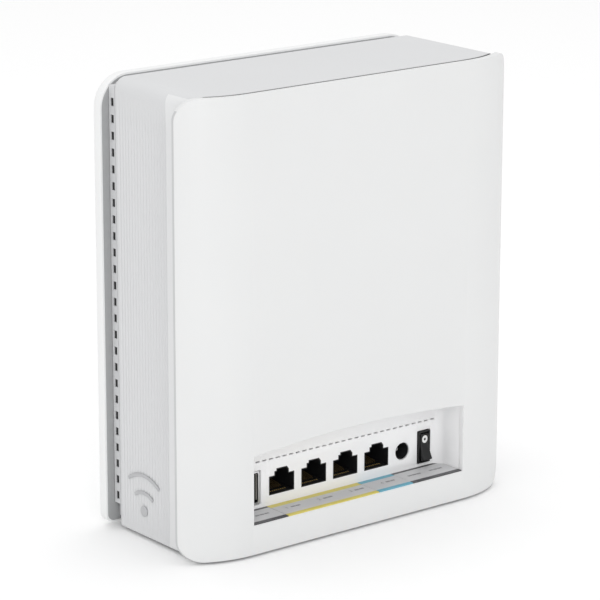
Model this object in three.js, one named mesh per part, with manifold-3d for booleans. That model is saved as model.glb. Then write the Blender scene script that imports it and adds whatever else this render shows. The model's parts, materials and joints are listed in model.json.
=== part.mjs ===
// Upright wireless router: a ribbed sleeve closed by a wing-edged rear cover and an overhanging
// front cover, with the ports in a bay at the foot of the rear side.
// Millimetres. +Z up, the ports face -Y, the front faces +Y, origin on the floor under the middle.
import * as THREE from 'three';
import { mergeVertices } from 'three/addons/utils/BufferGeometryUtils.js';
import Module from 'manifold-3d';

const wasm = await Module();
wasm.setup();
const { Manifold, Mesh: SolidMesh } = wasm;

// ---- overall ----
const WIDTH = 162.4;
const HEIGHT = 179.2;
const DEPTH = 67.6;
const FOOT_HEIGHT = 0.8;
const GAP = 0.3;

// ---- rear cover: flat behind the bay, then swept forward at both ends ----
const COVER_THICKNESS = 2.6;
const COVER_CORNER = 8.5;
const COVER_DEPTH = 15;
const WING_MARGIN = 0.8;
const WING_REACH = 11;
const WING_RUNOUT = 6;

// ---- sleeve ----
const BODY_INSET = 6.9;
const BODY_STEP = 0.2;
const BODY_WALL = 2.2;
const BODY_TOP_CORNER = 5;
const BODY_FOOT_CORNER = 1.2;
const NECK_LENGTH = 4.4;
const RIB_PITCH = 1.85;
const RIB_WIDTH = 0.9;
const RIB_DEPTH = 0.35;
const RIB_FIRST = 2.2;
const RIB_MARGIN = 15.5;
const RIB_FOOT = 3;
const RIB_HEAD = 4;

// ---- underside: feet and air slots ----
const FOOT_INSET = 18.3;
const FOOT_REAR = 13.8;
const FOOT_FRONT = 8.3;
const FOOT_RADIUS = 5;
const FOOT_SINK = 0.6;
const SLOT_PITCH = 8;
const SLOT_WIDTH = 3;
const SLOT_REAR = 16;
const SLOT_FRONT = 4;

// ---- neck ring with the side vents ----
const NECK_WALL = 2;
const NECK_LAP = 6;
const STRIP_INSET = 0.4;
const STRIP_FOOT = 6.4;
const STRIP_HEAD = 1;
const VENT_PITCH = 6.53;
const VENT_HEIGHT = 3.2;
const VENT_WIDTH = 2;
const VENT_LEAD = 3.3;
const VENT_TAIL = 6;

// ---- front cover ----
const FRONT_INSET = 3.2;
const FRONT_THICKNESS = 5.1;
const FRONT_CORNER = 13;
const FRONT_FOOT_CORNER = 4;
const FRONT_SKIN = 2;
const FRONT_RIM = 2.2;
const FRONT_EDGE = 1.2;
const FRONT_LIFT = 0.5;
const TRAY_CORNER = 8;
const CATCH_SIZE = [2.4, 6, 9];
const CATCH_FOOT = 36.5;
const CATCH_HEAD = 30.3;
const LENS_SIZE = [18, 2.4];
const LENS_Z = 22;

// ---- port bay ----
const BAY_FLOOR = 12.5;
const BAY_END_HEIGHT = 27.6;
const BAY_ARCH = 2.7;
const BAY_DEPTH = 15;
const BAY_WALL = 1.6;
const BAY_FILLET = 3.5;
const BAY_LEFT_SPACE = 8.55;
const BAY_RIGHT_SPACE = 5;
const BAY_VENT_PITCH = 3.3;
const BAY_VENT_SIZE = [2.2, 0.6];
const BAY_VENT_RISE = 18.9;
const LUG_INSET = 4;
const LUG_SIZE = 7;

// ---- ports, from left to right: USB, four jacks, power inlet, switch ----
const PORT_DEPTH = 15;
const JACK_RISE = 4.4;
const JACK_WIDTH = 11.9;
const JACK_HEIGHT = 7.1;
const JACK_WALL = 1.6;
const JACK_SPACE = 0.9;
const JACK_COUNT = 4;
const USB_SPACE = 2.95;
const USB_SLOT = [5.1, 12.5];
const USB_WALL = 0.5;
const USB_RISE = 8.4;
const DC_SPACE = 1.4;
const DC_BODY = [9.2, 10.8];
const DC_BORE = 6.6;
const DC_WALL = 0.3;
const DC_RISE = 8.4;
const SWITCH_SPACE = 3.5;
const SWITCH_SIZE = [6.2, 13.4];
const SWITCH_WALL = 0.6;
const SWITCH_RISE = 8.2;
const SWITCH_PROUD = 0.6;
const ROCKER_PIVOT = 0.3;
const ROCKER_CLEARANCE = 0.43;

// ---- side buttons ----
const PAIR_Z = 34;
const PAIR_SIZE = [6, 11];
const PAIR_BACK = 3.4;
const PAIR_PROUD = 0.8;
const PAIR_FLANGE = 1.5;
const RESET_INSET = 16.3;
const RESET_BACK = 6.4;
const RESET_RADIUS = 1.2;

// ---- board and what it carries ----
const BOARD_SIDE = 7.8;
const BOARD_FOOT = 3.5;
const BOARD_HEAD = 28.3;
const BOARD_THICKNESS = 1.6;
const SCREW_EDGE = 6;
const CAN_HEIGHT = 3.1;
const SINK_FINS = 9;
const SINK_WIDTH = 80;
const SINK_EDGE = 4;
const FRAME_SPACE = 5;
const FRAME_THICKNESS = 2;
const LEAD_RADIUS = 0.7;

// ---- places that follow from the sizes ----
const halfWidth = WIDTH / 2;
const halfBody = halfWidth - BODY_INSET;
const halfFront = halfWidth - FRONT_INSET;
const zFoot = FOOT_HEIGHT;
const zTop = zFoot + HEIGHT;
const bodyFoot = zFoot + BODY_STEP;
const bodyTop = zTop - BODY_STEP;
const yRear = -DEPTH / 2;
const yFront = DEPTH / 2;
const yPlate = yRear + BAY_DEPTH;
const yPlateBack = yPlate + BAY_WALL;
const yPort = yPlateBack + GAP;
const yPortEnd = yPort + PORT_DEPTH;
const yBoard = yPortEnd + GAP;
const yBoardFront = yBoard + BOARD_THICKNESS;
const yFrame = yBoardFront + FRAME_SPACE;
const yCoverBack = yFront - FRONT_THICKNESS;
const ySleeveEnd = yCoverBack - NECK_LENGTH;
const neckOut = halfBody - BODY_WALL - GAP;
const neckFoot = bodyFoot + BODY_WALL + GAP;
const neckTop = bodyTop - BODY_WALL - GAP;

const usbHalfX = USB_SLOT[0] / 2 + USB_WALL;
const usbHalfZ = USB_SLOT[1] / 2 + USB_WALL;
const jackBody = JACK_WIDTH + 2 * JACK_WALL;
const jackPitch = jackBody + JACK_SPACE;
const jackRow = JACK_COUNT * jackPitch - JACK_SPACE;
const portRow = 2 * usbHalfX + USB_SPACE + jackRow + DC_SPACE + DC_BODY[0] + SWITCH_SPACE + SWITCH_SIZE[0];
const halfBay = (BAY_LEFT_SPACE + portRow + BAY_RIGHT_SPACE) / 2;
const usbX = -halfBay + BAY_LEFT_SPACE + usbHalfX;
const jackXs = [];
for (let i = 0; i < JACK_COUNT; i++) {
  jackXs.push(usbX + usbHalfX + USB_SPACE + jackBody / 2 + i * jackPitch);
}
const lastJackX = jackXs[JACK_COUNT - 1];
const dcX = lastJackX + jackBody / 2 + DC_SPACE + DC_BODY[0] / 2;
const switchX = dcX + DC_BODY[0] / 2 + SWITCH_SPACE + SWITCH_SIZE[0] / 2;
const jackFoot = BAY_FLOOR + JACK_RISE;
const usbZ = BAY_FLOOR + USB_RISE;
const dcZ = BAY_FLOOR + DC_RISE;
const switchZ = BAY_FLOOR + SWITCH_RISE;
const bayEndTop = BAY_FLOOR + BAY_END_HEIGHT;
const lugX = halfBay - LUG_INSET;
const lugZ = bayEndTop - LUG_SIZE / 2;

const wingStart = halfBay + WING_MARGIN;
const wingSpan = halfWidth - wingStart;
const wingRadius = (wingSpan ** 2 + WING_REACH ** 2) / (2 * WING_REACH);
const wingSweep = Math.asin(wingSpan / wingRadius);
const wingCentreY = yRear + wingRadius;

const footX = halfBody - FOOT_INSET;
const footYs = [yRear + FOOT_REAR, ySleeveEnd - FOOT_FRONT];
const pairY = yBoard - PAIR_BACK;
const resetX = halfBody - RESET_INSET;
const resetY = yBoard - RESET_BACK;

const group = new THREE.Group();

// ---- materials ----
const look = (color, roughness, metalness = 0) =>
  new THREE.MeshStandardMaterial({ color, roughness, metalness });
const shellWhite = look(0xecedec, 0.42);
const sleeveWhite = look(0xe2e3e4, 0.5);
const neckGrey = look(0xc9cacb, 0.55);
const bayWhite = look(0xe9e9ea, 0.45);
const labelGrey = look(0x5d5f63, 0.5);
const labelSilver = look(0xbfc1c4, 0.45);
const labelYellow = look(0xe8c93a, 0.5);
const labelBlue = look(0x45a5bf, 0.5);
const badgeGrey = look(0x9a9c9f, 0.4, 0.2);
const portBlack = look(0x17181a, 0.55);
const switchBlack = look(0x131314, 0.35);
const steel = look(0xb7babd, 0.32, 0.9);
const gold = look(0xd9a441, 0.28, 0.95);
const tongueWhite = look(0xe4e4e0, 0.5);
const boardGreen = look(0x1d5a3c, 0.6);
const shieldTin = look(0xc3c6c8, 0.35, 0.85);
const aluminium = look(0xa9adb1, 0.38, 0.85);
const padBlue = look(0x8fa8b8, 0.85);
const frameGrey = look(0x8c8f92, 0.6);
const antennaBlack = look(0x24272b, 0.6);
const leadBlack = look(0x151617, 0.5);
const rubberGrey = look(0x77797c, 0.9);
const lensWhite = look(0xf4f6f7, 0.25);
const buttonWhite = look(0xdcdddd, 0.45);
const screwSteel = look(0x8f9296, 0.35, 0.9);
const ferriteBlack = look(0x2b2c2f, 0.7);
const capacitorGrey = look(0x23262c, 0.4);

// ---- helpers ----
function solid(geometry) {
  const bare = geometry.index ? geometry.toNonIndexed() : geometry.clone();
  bare.deleteAttribute('normal');
  bare.deleteAttribute('uv');
  const merged = mergeVertices(bare, 1e-5);
  return new Manifold(new SolidMesh({
    numProp: 3,
    vertProperties: new Float32Array(merged.attributes.position.array),
    triVerts: new Uint32Array(merged.index.array),
  }));
}

function surface(body) {
  const mesh = body.getMesh();
  const geometry = new THREE.BufferGeometry();
  geometry.setAttribute('position', new THREE.BufferAttribute(new Float32Array(mesh.vertProperties), 3));
  geometry.setIndex(new THREE.BufferAttribute(new Uint32Array(mesh.triVerts), 1));
  geometry.computeVertexNormals();
  return geometry;
}

function piece(name, geometry, material, position = [0, 0, 0]) {
  const mesh = new THREE.Mesh(geometry, material);
  mesh.name = name;
  mesh.position.set(...position);
  group.add(mesh);
  return mesh;
}

function box(x0, x1, y0, y1, z0, z1) {
  const geometry = new THREE.BoxGeometry(x1 - x0, y1 - y0, z1 - z0);
  return geometry.translate((x0 + x1) / 2, (y0 + y1) / 2, (z0 + z1) / 2);
}

const block = (...ends) => solid(box(...ends));

// A block between two distances from the middle, on the +X side (side 1) or the -X side (side -1).
function sideBlock(side, near, far, ...ends) {
  return side > 0 ? block(near, far, ...ends) : block(-far, -near, ...ends);
}

// A rectangle with its own top and bottom corner radii, in the shape plane.
function roundedRect(x0, x1, z0, z1, rTop, rFoot = rTop) {
  const shape = new THREE.Shape();
  shape.moveTo(x0 + rFoot, z0);
  shape.lineTo(x1 - rFoot, z0);
  shape.absarc(x1 - rFoot, z0 + rFoot, rFoot, -Math.PI / 2, 0);
  shape.lineTo(x1, z1 - rTop);
  shape.absarc(x1 - rTop, z1 - rTop, rTop, 0, Math.PI / 2);
  shape.lineTo(x0 + rTop, z1);
  shape.absarc(x0 + rTop, z1 - rTop, rTop, Math.PI / 2, Math.PI);
  shape.lineTo(x0, z0 + rFoot);
  shape.absarc(x0 + rFoot, z0 + rFoot, rFoot, Math.PI, 1.5 * Math.PI);
  return shape;
}

// A profile drawn in X and Z, made solid from y0 to y1.
function alongY(shape, y0, y1, steps = 8) {
  const options = { depth: y1 - y0, bevelEnabled: false, curveSegments: steps };
  return new THREE.ExtrudeGeometry(shape, options).rotateX(Math.PI / 2).translate(0, y1, 0);
}

// A profile drawn in X and Y, made solid from z0 to z1.
function alongZ(shape, z0, z1, steps = 12) {
  const options = { depth: z1 - z0, bevelEnabled: false, curveSegments: steps };
  return new THREE.ExtrudeGeometry(shape, options).translate(0, 0, z0);
}

const cylinderY = (radius, y0, y1, x, z, sides = 24) =>
  new THREE.CylinderGeometry(radius, radius, y1 - y0, sides).translate(x, (y0 + y1) / 2, z);

const cylinderZ = (radius, z0, z1, x, y, sides = 24) =>
  new THREE.CylinderGeometry(radius, radius, z1 - z0, sides).rotateX(Math.PI / 2)
    .translate(x, y, (z0 + z1) / 2);

const lathe = (profile, sides) =>
  new THREE.LatheGeometry(profile.map(([r, y]) => new THREE.Vector2(r, y)), sides);

// ---- rear cover ----
// One curve of the cover from its +X end to its -X end. Inset 0 is the outer face; a larger inset
// lies further forward. Past the swept ends the curve runs on straight.
function wingLine(inset, steps = 10) {
  const radius = wingRadius - inset;
  const endX = wingStart + radius * Math.sin(wingSweep);
  const endY = wingCentreY - radius * Math.cos(wingSweep);
  const half = [[endX + WING_RUNOUT * Math.cos(wingSweep), endY + WING_RUNOUT * Math.sin(wingSweep)]];
  for (let i = 0; i <= steps; i++) {
    const turn = wingSweep * (1 - i / steps);
    half.push([wingStart + radius * Math.sin(turn), wingCentreY - radius * Math.cos(turn)]);
  }
  const mirrored = half.slice().reverse().map(([x, y]) => [-x, y]);
  return half.concat(mirrored);
}

function outline(points) {
  const shape = new THREE.Shape();
  points.forEach(([x, y], i) => {
    if (i === 0) {
      shape.moveTo(x, y);
    } else {
      shape.lineTo(x, y);
    }
  });
  shape.closePath();
  return shape;
}

// A rectangle with an arched top, rise above its ends.
function archedRect(halfSpan, z0, z1, rise) {
  const radius = (halfSpan * halfSpan + rise * rise) / (2 * rise);
  const spread = Math.asin(halfSpan / radius);
  const shape = new THREE.Shape();
  shape.moveTo(-halfSpan, z0);
  shape.lineTo(halfSpan, z0);
  shape.lineTo(halfSpan, z1);
  shape.absarc(0, z1 + rise - radius, radius, Math.PI / 2 - spread, Math.PI / 2 + spread, false);
  shape.lineTo(-halfSpan, z0);
  return shape;
}

const bayMouth = archedRect(halfBay, BAY_FLOOR, bayEndTop, BAY_ARCH);

function rearCover() {
  const band = outline([...wingLine(0), ...wingLine(COVER_THICKNESS).reverse()]);
  const face = roundedRect(-halfWidth, halfWidth, zFoot, zTop, COVER_CORNER);
  const cover = solid(alongZ(band, 0, zTop + 1))
    .intersect(solid(alongY(face, yRear - 1, yRear + COVER_DEPTH, 10)))
    .subtract(solid(alongY(bayMouth, yRear - 2, yPlate, 14)));
  piece('rear_cover', surface(cover), shellWhite);
}
rearCover();

// ---- sleeve: one tube, its rear rim cut to the curve of the cover ----
function ribbed(tube) {
  const rimRadius = wingRadius - COVER_THICKNESS - GAP;
  const rimY = wingCentreY - Math.sqrt(rimRadius ** 2 - Math.max(0, halfBody - wingStart) ** 2);
  const firstRib = ySleeveEnd - RIB_FIRST;
  const ribCount = Math.floor((firstRib - RIB_MARGIN - rimY) / RIB_PITCH) + 1;
  let ribs = tube;
  for (let i = 0; i < ribCount; i++) {
    const y = firstRib - i * RIB_PITCH;
    for (const face of [-halfBody, halfBody]) {
      ribs = ribs.subtract(block(
        face - RIB_DEPTH, face + RIB_DEPTH, y - RIB_WIDTH / 2, y + RIB_WIDTH / 2,
        bodyFoot + RIB_FOOT, zTop - BODY_TOP_CORNER - RIB_HEAD,
      ));
    }
  }
  return ribs;
}

function bodySleeve() {
  const outer = roundedRect(-halfBody, halfBody, bodyFoot, bodyTop, BODY_TOP_CORNER, BODY_FOOT_CORNER);
  const inner = roundedRect(
    -halfBody + BODY_WALL, halfBody - BODY_WALL, bodyFoot + BODY_WALL, bodyTop - BODY_WALL,
    BODY_TOP_CORNER - BODY_WALL, BODY_FOOT_CORNER,
  );
  const rim = wingLine(COVER_THICKNESS + GAP);
  const rimEnd = rim[0][0];
  const behindCover = outline([...rim, [-rimEnd, yRear - 20], [rimEnd, yRear - 20]]);
  let sleeve = solid(alongY(outer, yRear, ySleeveEnd, 6))
    .subtract(solid(alongY(inner, yRear - 1, ySleeveEnd + 1, 6)))
    .subtract(solid(alongZ(behindCover, -1, zTop + 1)));
  sleeve = ribbed(sleeve);

  const floorTop = bodyFoot + BODY_WALL + 1;
  const slotPairs = Math.floor((footX - FOOT_RADIUS - 2) / SLOT_PITCH);
  for (let i = -slotPairs; i < slotPairs; i++) {
    const x = (i + 0.5) * SLOT_PITCH;
    sleeve = sleeve.subtract(block(
      x - SLOT_WIDTH / 2, x + SLOT_WIDTH / 2, footYs[0] + SLOT_REAR, footYs[1] - SLOT_FRONT, 0, floorTop,
    ));
  }
  const pocketTop = bodyFoot + FOOT_SINK + BODY_STEP;
  for (const x of [-footX, footX]) {
    for (const y of footYs) {
      sleeve = sleeve.subtract(solid(cylinderZ(FOOT_RADIUS + GAP, 0, pocketTop, x, y, 20)));
    }
  }
  const [holeY, holeZ] = PAIR_SIZE.map((size) => size / 2 + GAP);
  sleeve = sleeve
    .subtract(sideBlock(
      1, halfBody - BODY_WALL - 1, halfBody + 1, pairY - holeY, pairY + holeY, PAIR_Z - holeZ, PAIR_Z + holeZ,
    ))
    .subtract(solid(cylinderZ(RESET_RADIUS + GAP, 0, floorTop, resetX, resetY, 20)));
  piece('body_sleeve', surface(sleeve), sleeveWhite);
}
bodySleeve();

['left', 'right'].forEach((side, i) => {
  ['rear', 'front'].forEach((end, j) => {
    const foot = cylinderZ(FOOT_RADIUS, 0, bodyFoot + FOOT_SINK, 0, 0, 20);
    piece(`foot_${side}_${end}`, foot, rubberGrey, [(2 * i - 1) * footX, footYs[j], 0]);
  });
});

// ---- neck ring: plugs into the sleeve and carries the vent strip on each side ----
const neckIn = neckOut - NECK_WALL;
const yNeckEnd = yCoverBack - GAP;

function ventNeck() {
  const lapStart = ySleeveEnd - NECK_LAP;
  const outer = roundedRect(-neckOut, neckOut, neckFoot, neckTop, BODY_TOP_CORNER - BODY_WALL, 1);
  const inner = roundedRect(-neckIn, neckIn, neckFoot + NECK_WALL, neckTop - NECK_WALL, 1.5, 1);
  const stripLow = neckFoot + STRIP_FOOT;
  const stripHigh = neckTop - STRIP_HEAD;
  let neck = solid(alongY(outer, lapStart, yNeckEnd, 5));
  for (const side of [-1, 1]) {
    neck = neck.add(sideBlock(
      side, neckOut - 0.5, halfBody - STRIP_INSET, ySleeveEnd + GAP, yNeckEnd, stripLow, stripHigh,
    ));
  }
  neck = neck.subtract(solid(alongY(inner, lapStart - 1, yNeckEnd + 1, 5)));
  const ventY = (ySleeveEnd + yCoverBack) / 2 - 0.1;
  const firstVent = stripLow + VENT_LEAD;
  const ventCount = Math.floor((stripHigh - VENT_TAIL - firstVent) / VENT_PITCH) + 1;
  for (let i = 0; i < ventCount; i++) {
    const z = firstVent + i * VENT_PITCH;
    neck = neck.subtract(block(
      -halfBody - 1, halfBody + 1, ventY - VENT_WIDTH / 2, ventY + VENT_WIDTH / 2,
      z - VENT_HEIGHT / 2, z + VENT_HEIGHT / 2,
    ));
  }
  piece('vent_neck', surface(neck), neckGrey);
}
ventNeck();

// ---- front cover: a shallow tray with four catches that spring inside the neck ring ----
function frontShape(inset) {
  return roundedRect(
    -halfFront + inset, halfFront - inset, zFoot + FRONT_LIFT + inset, zTop - inset,
    FRONT_CORNER - inset, FRONT_FOOT_CORNER - inset,
  );
}

function frontCover() {
  const yEdge = yFront - FRONT_EDGE;
  const edgeSteps = 2;
  let front = solid(alongY(frontShape(0), yCoverBack, yEdge, 10));
  for (let i = 0; i < edgeSteps; i++) {
    const from = (i / edgeSteps) * Math.PI / 2;
    const to = ((i + 1) / edgeSteps) * Math.PI / 2;
    const layer = frontShape(0.9 * FRONT_EDGE * (1 - Math.cos(to)));
    front = front.add(solid(alongY(
      layer, yEdge - 0.01 + FRONT_EDGE * Math.sin(from), yEdge + FRONT_EDGE * Math.sin(to), 10,
    )));
  }
  const trayHalf = neckIn - FRONT_RIM;
  const trayInset = NECK_WALL + FRONT_RIM;
  front = front.subtract(solid(alongY(
    roundedRect(-trayHalf, trayHalf, neckFoot + trayInset, neckTop - trayInset, TRAY_CORNER),
    yCoverBack - 1, yFront - FRONT_SKIN, 6,
  )));
  const [catchWidth, catchReach, catchHeight] = CATCH_SIZE;
  const catchX = neckIn - GAP;
  for (const side of [-1, 1]) {
    for (const z of [neckFoot + CATCH_FOOT, neckTop - CATCH_HEAD - catchHeight]) {
      front = front.add(sideBlock(
        side, catchX - catchWidth, catchX, yCoverBack - catchReach, yFront - FRONT_SKIN + 0.5,
        z, z + catchHeight,
      ));
    }
  }
  front = front.subtract(solid(alongY(lensShape(GAP), yCoverBack, yFront + 1, 5)));
  piece('front_cover', surface(front), shellWhite);
}

function lensShape(grow) {
  const halfX = LENS_SIZE[0] / 2 + grow;
  const halfZ = LENS_SIZE[1] / 2 + grow;
  return roundedRect(-halfX, halfX, LENS_Z - halfZ, LENS_Z + halfZ, 0.99 * halfZ);
}
frontCover();
piece('led_lens', alongY(lensShape(0), yFront - FRONT_SKIN - 1.2, yFront - 0.2, 5), lensWhite);

// ---- port bay: an open-fronted box with the port plate as its far wall ----
// The mouth of a modular jack: a square opening with a stepped notch for the plug's latch above it.
function jackMouth(x, grow = 0) {
  const half = JACK_WIDTH / 2 + grow;
  const z0 = jackFoot - grow;
  const z1 = jackFoot + JACK_HEIGHT + grow;
  return outline([
    [x - half, z0], [x + half, z0], [x + half, z1], [x + 3.3 + grow, z1],
    [x + 3.3 + grow, z1 + 1.4], [x + 2.3 + grow, z1 + 2.7],
    [x - 2.3 - grow, z1 + 2.7], [x - 2.3 - grow, z1 + 1.7],
    [x - 3.3 - grow, z1 + 1.7], [x - 3.3 - grow, z1],
    [x - half, z1],
  ]);
}

// The bay's room seen from above, with rounded far corners.
function bayPlan() {
  const plan = new THREE.Shape();
  plan.moveTo(-halfBay, yRear - 5);
  plan.lineTo(halfBay, yRear - 5);
  plan.lineTo(halfBay, yPlate - BAY_FILLET);
  plan.absarc(halfBay - BAY_FILLET, yPlate - BAY_FILLET, BAY_FILLET, 0, Math.PI / 2);
  plan.lineTo(-halfBay + BAY_FILLET, yPlate);
  plan.absarc(-halfBay + BAY_FILLET, yPlate - BAY_FILLET, BAY_FILLET, Math.PI / 2, Math.PI);
  return plan;
}

// Holes that each port passes through in the plate, with the gap around it.
function portHoles() {
  const y0 = yPlate - 1;
  const y1 = yPlateBack + 1;
  const swX = SWITCH_SIZE[0] / 2 + GAP;
  const swZ = SWITCH_SIZE[1] / 2 + GAP;
  const holes = [
    block(usbX - usbHalfX - GAP, usbX + usbHalfX + GAP, y0, y1, usbZ - usbHalfZ - GAP, usbZ + usbHalfZ + GAP),
    solid(cylinderY(DC_BORE / 2 + GAP, y0, y1, dcX, dcZ, 28)),
    block(switchX - swX, switchX + swX, y0, y1, switchZ - swZ, switchZ + swZ),
  ];
  for (const x of jackXs) {
    holes.push(solid(alongY(jackMouth(x), y0, y1)));
  }
  const [ventX, ventZ] = BAY_VENT_SIZE.map((size) => size / 2);
  const z = BAY_FLOOR + BAY_VENT_RISE;
  const ventPairs = Math.floor((halfBay - BAY_FILLET) / BAY_VENT_PITCH);
  for (let i = -ventPairs; i <= ventPairs; i++) {
    const x = i * BAY_VENT_PITCH;
    holes.push(block(x - ventX, x + ventX, y0, y1, z - ventZ, z + ventZ));
  }
  return holes;
}

function portBay() {
  const outer = archedRect(halfBay + BAY_WALL, BAY_FLOOR - BAY_WALL, bayEndTop + BAY_WALL, BAY_ARCH);
  const room = solid(alongZ(bayPlan(), 0, zTop, 5))
    .intersect(solid(alongY(bayMouth, yRear - 4, yPlate + 1, 14)));
  let bay = solid(alongY(outer, yRear + COVER_THICKNESS + GAP, yPlateBack, 14)).subtract(room);
  for (const hole of portHoles()) {
    bay = bay.subtract(hole);
  }
  // Two lugs behind the plate take the screws that hold the bay to the board.
  for (const side of [-1, 1]) {
    const x = side * lugX;
    bay = bay
      .add(block(x - 3, x + 3, yPlateBack - 0.5, yBoard - GAP, bayEndTop - LUG_SIZE, bayEndTop))
      .subtract(solid(cylinderY(1.3, yBoard - 7, yBoard + 1, x, lugZ, 16)));
  }
  piece('port_bay', surface(bay), bayWhite);
}
portBay();

// ---- legend strips on the bay floor, clear of the fillets at its far corners ----
const LEGEND_THICKNESS = 0.4;
const LEGEND_SPLITS = [8.15, 10.65, 6.85];
const LEGEND_SEAM = 0.1;

function legendStrips() {
  const end = halfBay - 0.5;
  const yMouth = yRear + GAP;
  const yFar = yPlate - SWITCH_PROUD - GAP;
  const [lanLead, wanLead, wanTail] = LEGEND_SPLITS;
  const splits = [-end, jackXs[0] - lanLead, lastJackX - wanLead, lastJackX + wanTail, end];
  const strips = [
    ['legend_usb', labelGrey],
    ['legend_lan', labelYellow],
    ['legend_wan', labelBlue],
    ['legend_power', labelGrey],
  ];
  strips.forEach(([name, material], i) => {
    const first = i === 0;
    const last = i === strips.length - 1;
    const x0 = splits[i] + (first ? 0 : LEGEND_SEAM);
    const x1 = splits[i + 1] - (last ? 0 : LEGEND_SEAM);
    const corner0 = first ? BAY_FILLET : LEGEND_SEAM;
    const corner1 = last ? BAY_FILLET : LEGEND_SEAM;
    const strip = outline([
      [x0, yMouth], [x1, yMouth], [x1, yFar - corner1], [x1 - corner1, yFar],
      [x0 + corner0, yFar], [x0, yFar - corner0],
    ]);
    const base = BAY_FLOOR + 0.05;
    piece(name, alongZ(strip, base, base + LEGEND_THICKNESS), material);
  });
}
legendStrips();

// ---- modular jacks, each with eight spring contacts on a carrier at its far end ----
const CONTACT_COUNT = 8;
const CONTACT_PITCH = 1.02;

function jack(x, name) {
  const housing = block(
    x - jackBody / 2, x + jackBody / 2, yPort, yPortEnd, jackFoot - 2.4, jackFoot + JACK_HEIGHT + 5.3,
  ).subtract(solid(alongY(jackMouth(x, -0.1), yPort - 1, yPortEnd - 2.4)));
  piece(name, surface(housing), portBlack);

  let contacts = block(x - 4, x + 4, yPortEnd - 3.7, yPortEnd - 2.7, jackFoot + 0.2, jackFoot + 1.6);
  for (let k = 0; k < CONTACT_COUNT; k++) {
    const wireX = x + (k - (CONTACT_COUNT - 1) / 2) * CONTACT_PITCH;
    contacts = contacts.add(block(
      wireX - 0.2, wireX + 0.2, yPort + 3.5, yPortEnd - 3.2, jackFoot + 0.7, jackFoot + 1.1,
    ));
  }
  piece(`${name}_contacts`, surface(contacts), gold);
}
jackXs.forEach((x, i) => jack(x, `jack_${i + 1}`));

// ---- upright USB socket ----
function usbSocket() {
  const [slotX, slotZ] = USB_SLOT.map((size) => size / 2);
  const shell = block(
    usbX - usbHalfX, usbX + usbHalfX, yPlate + 0.4, yPortEnd, usbZ - usbHalfZ, usbZ + usbHalfZ,
  );
  const room = block(usbX - slotX, usbX + slotX, yPlate - 1, yPortEnd - 1.5, usbZ - slotZ, usbZ + slotZ);
  piece('usb_shell', surface(shell.subtract(room)), steel);
  const tongueZ = slotZ - 0.65;
  const tongue = box(usbX - 1.9, usbX - 0.1, yPlate + 1.6, yPortEnd - 1.8, usbZ - tongueZ, usbZ + tongueZ);
  piece('usb_tongue', tongue, tongueWhite);
}
usbSocket();

// ---- power inlet ----
function powerInlet() {
  const [bodyX, bodyZ] = DC_BODY.map((size) => size / 2);
  const bore = DC_BORE / 2;
  const inlet = block(dcX - bodyX, dcX + bodyX, yPort, yPortEnd, dcZ - bodyZ, dcZ + bodyZ)
    .add(solid(cylinderY(bore, yPlate + 0.3, yPort + 1, dcX, dcZ, 28)))
    .subtract(solid(cylinderY(bore - DC_WALL, yPlate - 1, yPortEnd - 3, dcX, dcZ, 28)));
  piece('dc_inlet', surface(inlet), portBlack);
  const pinLength = PORT_DEPTH - 4.9;
  const pinProfile = [[0, 0], [1.05, 0], [1.05, pinLength - 0.7], [0.6, pinLength], [0, pinLength]];
  piece('dc_pin', lathe(pinProfile, 16).rotateX(Math.PI), steel, [dcX, yPortEnd - 3.3, dcZ]);
}
powerInlet();

// ---- rocker switch ----
function powerSwitch() {
  const halfX = SWITCH_SIZE[0] / 2;
  const halfZ = SWITCH_SIZE[1] / 2;
  const innerX = halfX - SWITCH_WALL;
  const innerZ = halfZ - SWITCH_WALL;
  const shell = block(
    switchX - halfX, switchX + halfX, yPlate - SWITCH_PROUD, yPortEnd, switchZ - halfZ, switchZ + halfZ,
  );
  const room = block(
    switchX - innerX, switchX + innerX, yPlate - 2, yPlate + 7.4, switchZ - innerZ, switchZ + innerZ,
  );
  piece('switch_box', surface(shell.subtract(room)), switchBlack);

  // The rocker from the side, its pivot at 0,0: a shallow V whose lower half stands proud (off).
  const reach = innerZ - ROCKER_CLEARANCE;
  const side = outline([
    [-1.17, 0.25], [-3.38, 0.97 - reach], [-1.5, 0.22 - reach], [1.4, -3.6],
    [2.6, -1.4], [2.6, 1.6], [0.6, reach - 0.47], [-1.18, reach],
  ]);
  const rockerHalf = innerX - GAP;
  const rocker = new THREE.ExtrudeGeometry(side, { depth: 2 * rockerHalf, bevelEnabled: false });
  rocker.applyMatrix4(new THREE.Matrix4().makeBasis(
    new THREE.Vector3(0, 1, 0), new THREE.Vector3(0, 0, 1), new THREE.Vector3(1, 0, 0),
  ));
  rocker.translate(-rockerHalf, 0, 0);
  piece('power_rocker', rocker, switchBlack, [switchX, yPlate + ROCKER_PIVOT, switchZ]);
}
powerSwitch();

// ---- main board, upright behind the ports ----
const boardHalf = neckOut - BOARD_SIDE;
const boardFoot = neckFoot + BOARD_FOOT;
const boardTop = neckTop - BOARD_HEAD;
const zParts = bayEndTop + BAY_ARCH + BAY_WALL + 2 * GAP;
const screwX = boardHalf - SCREW_EDGE;
const screwXZ = [zParts + 11, boardTop - SCREW_EDGE].flatMap((z) => [[-screwX, z], [screwX, z]]);

function mainBoard() {
  const holes = [
    ...screwXZ.map(([x, z]) => [1.8, x, z]),
    [1.6, -lugX, lugZ],
    [1.6, lugX, lugZ],
  ];
  let board = block(-boardHalf, boardHalf, yBoard, yBoardFront, boardFoot, boardTop);
  for (const [radius, x, z] of holes) {
    board = board.subtract(solid(cylinderY(radius, yBoard - 1, yBoardFront + 1, x, z, 16)));
  }
  piece('main_board', surface(board), boardGreen);
}
mainBoard();

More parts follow.
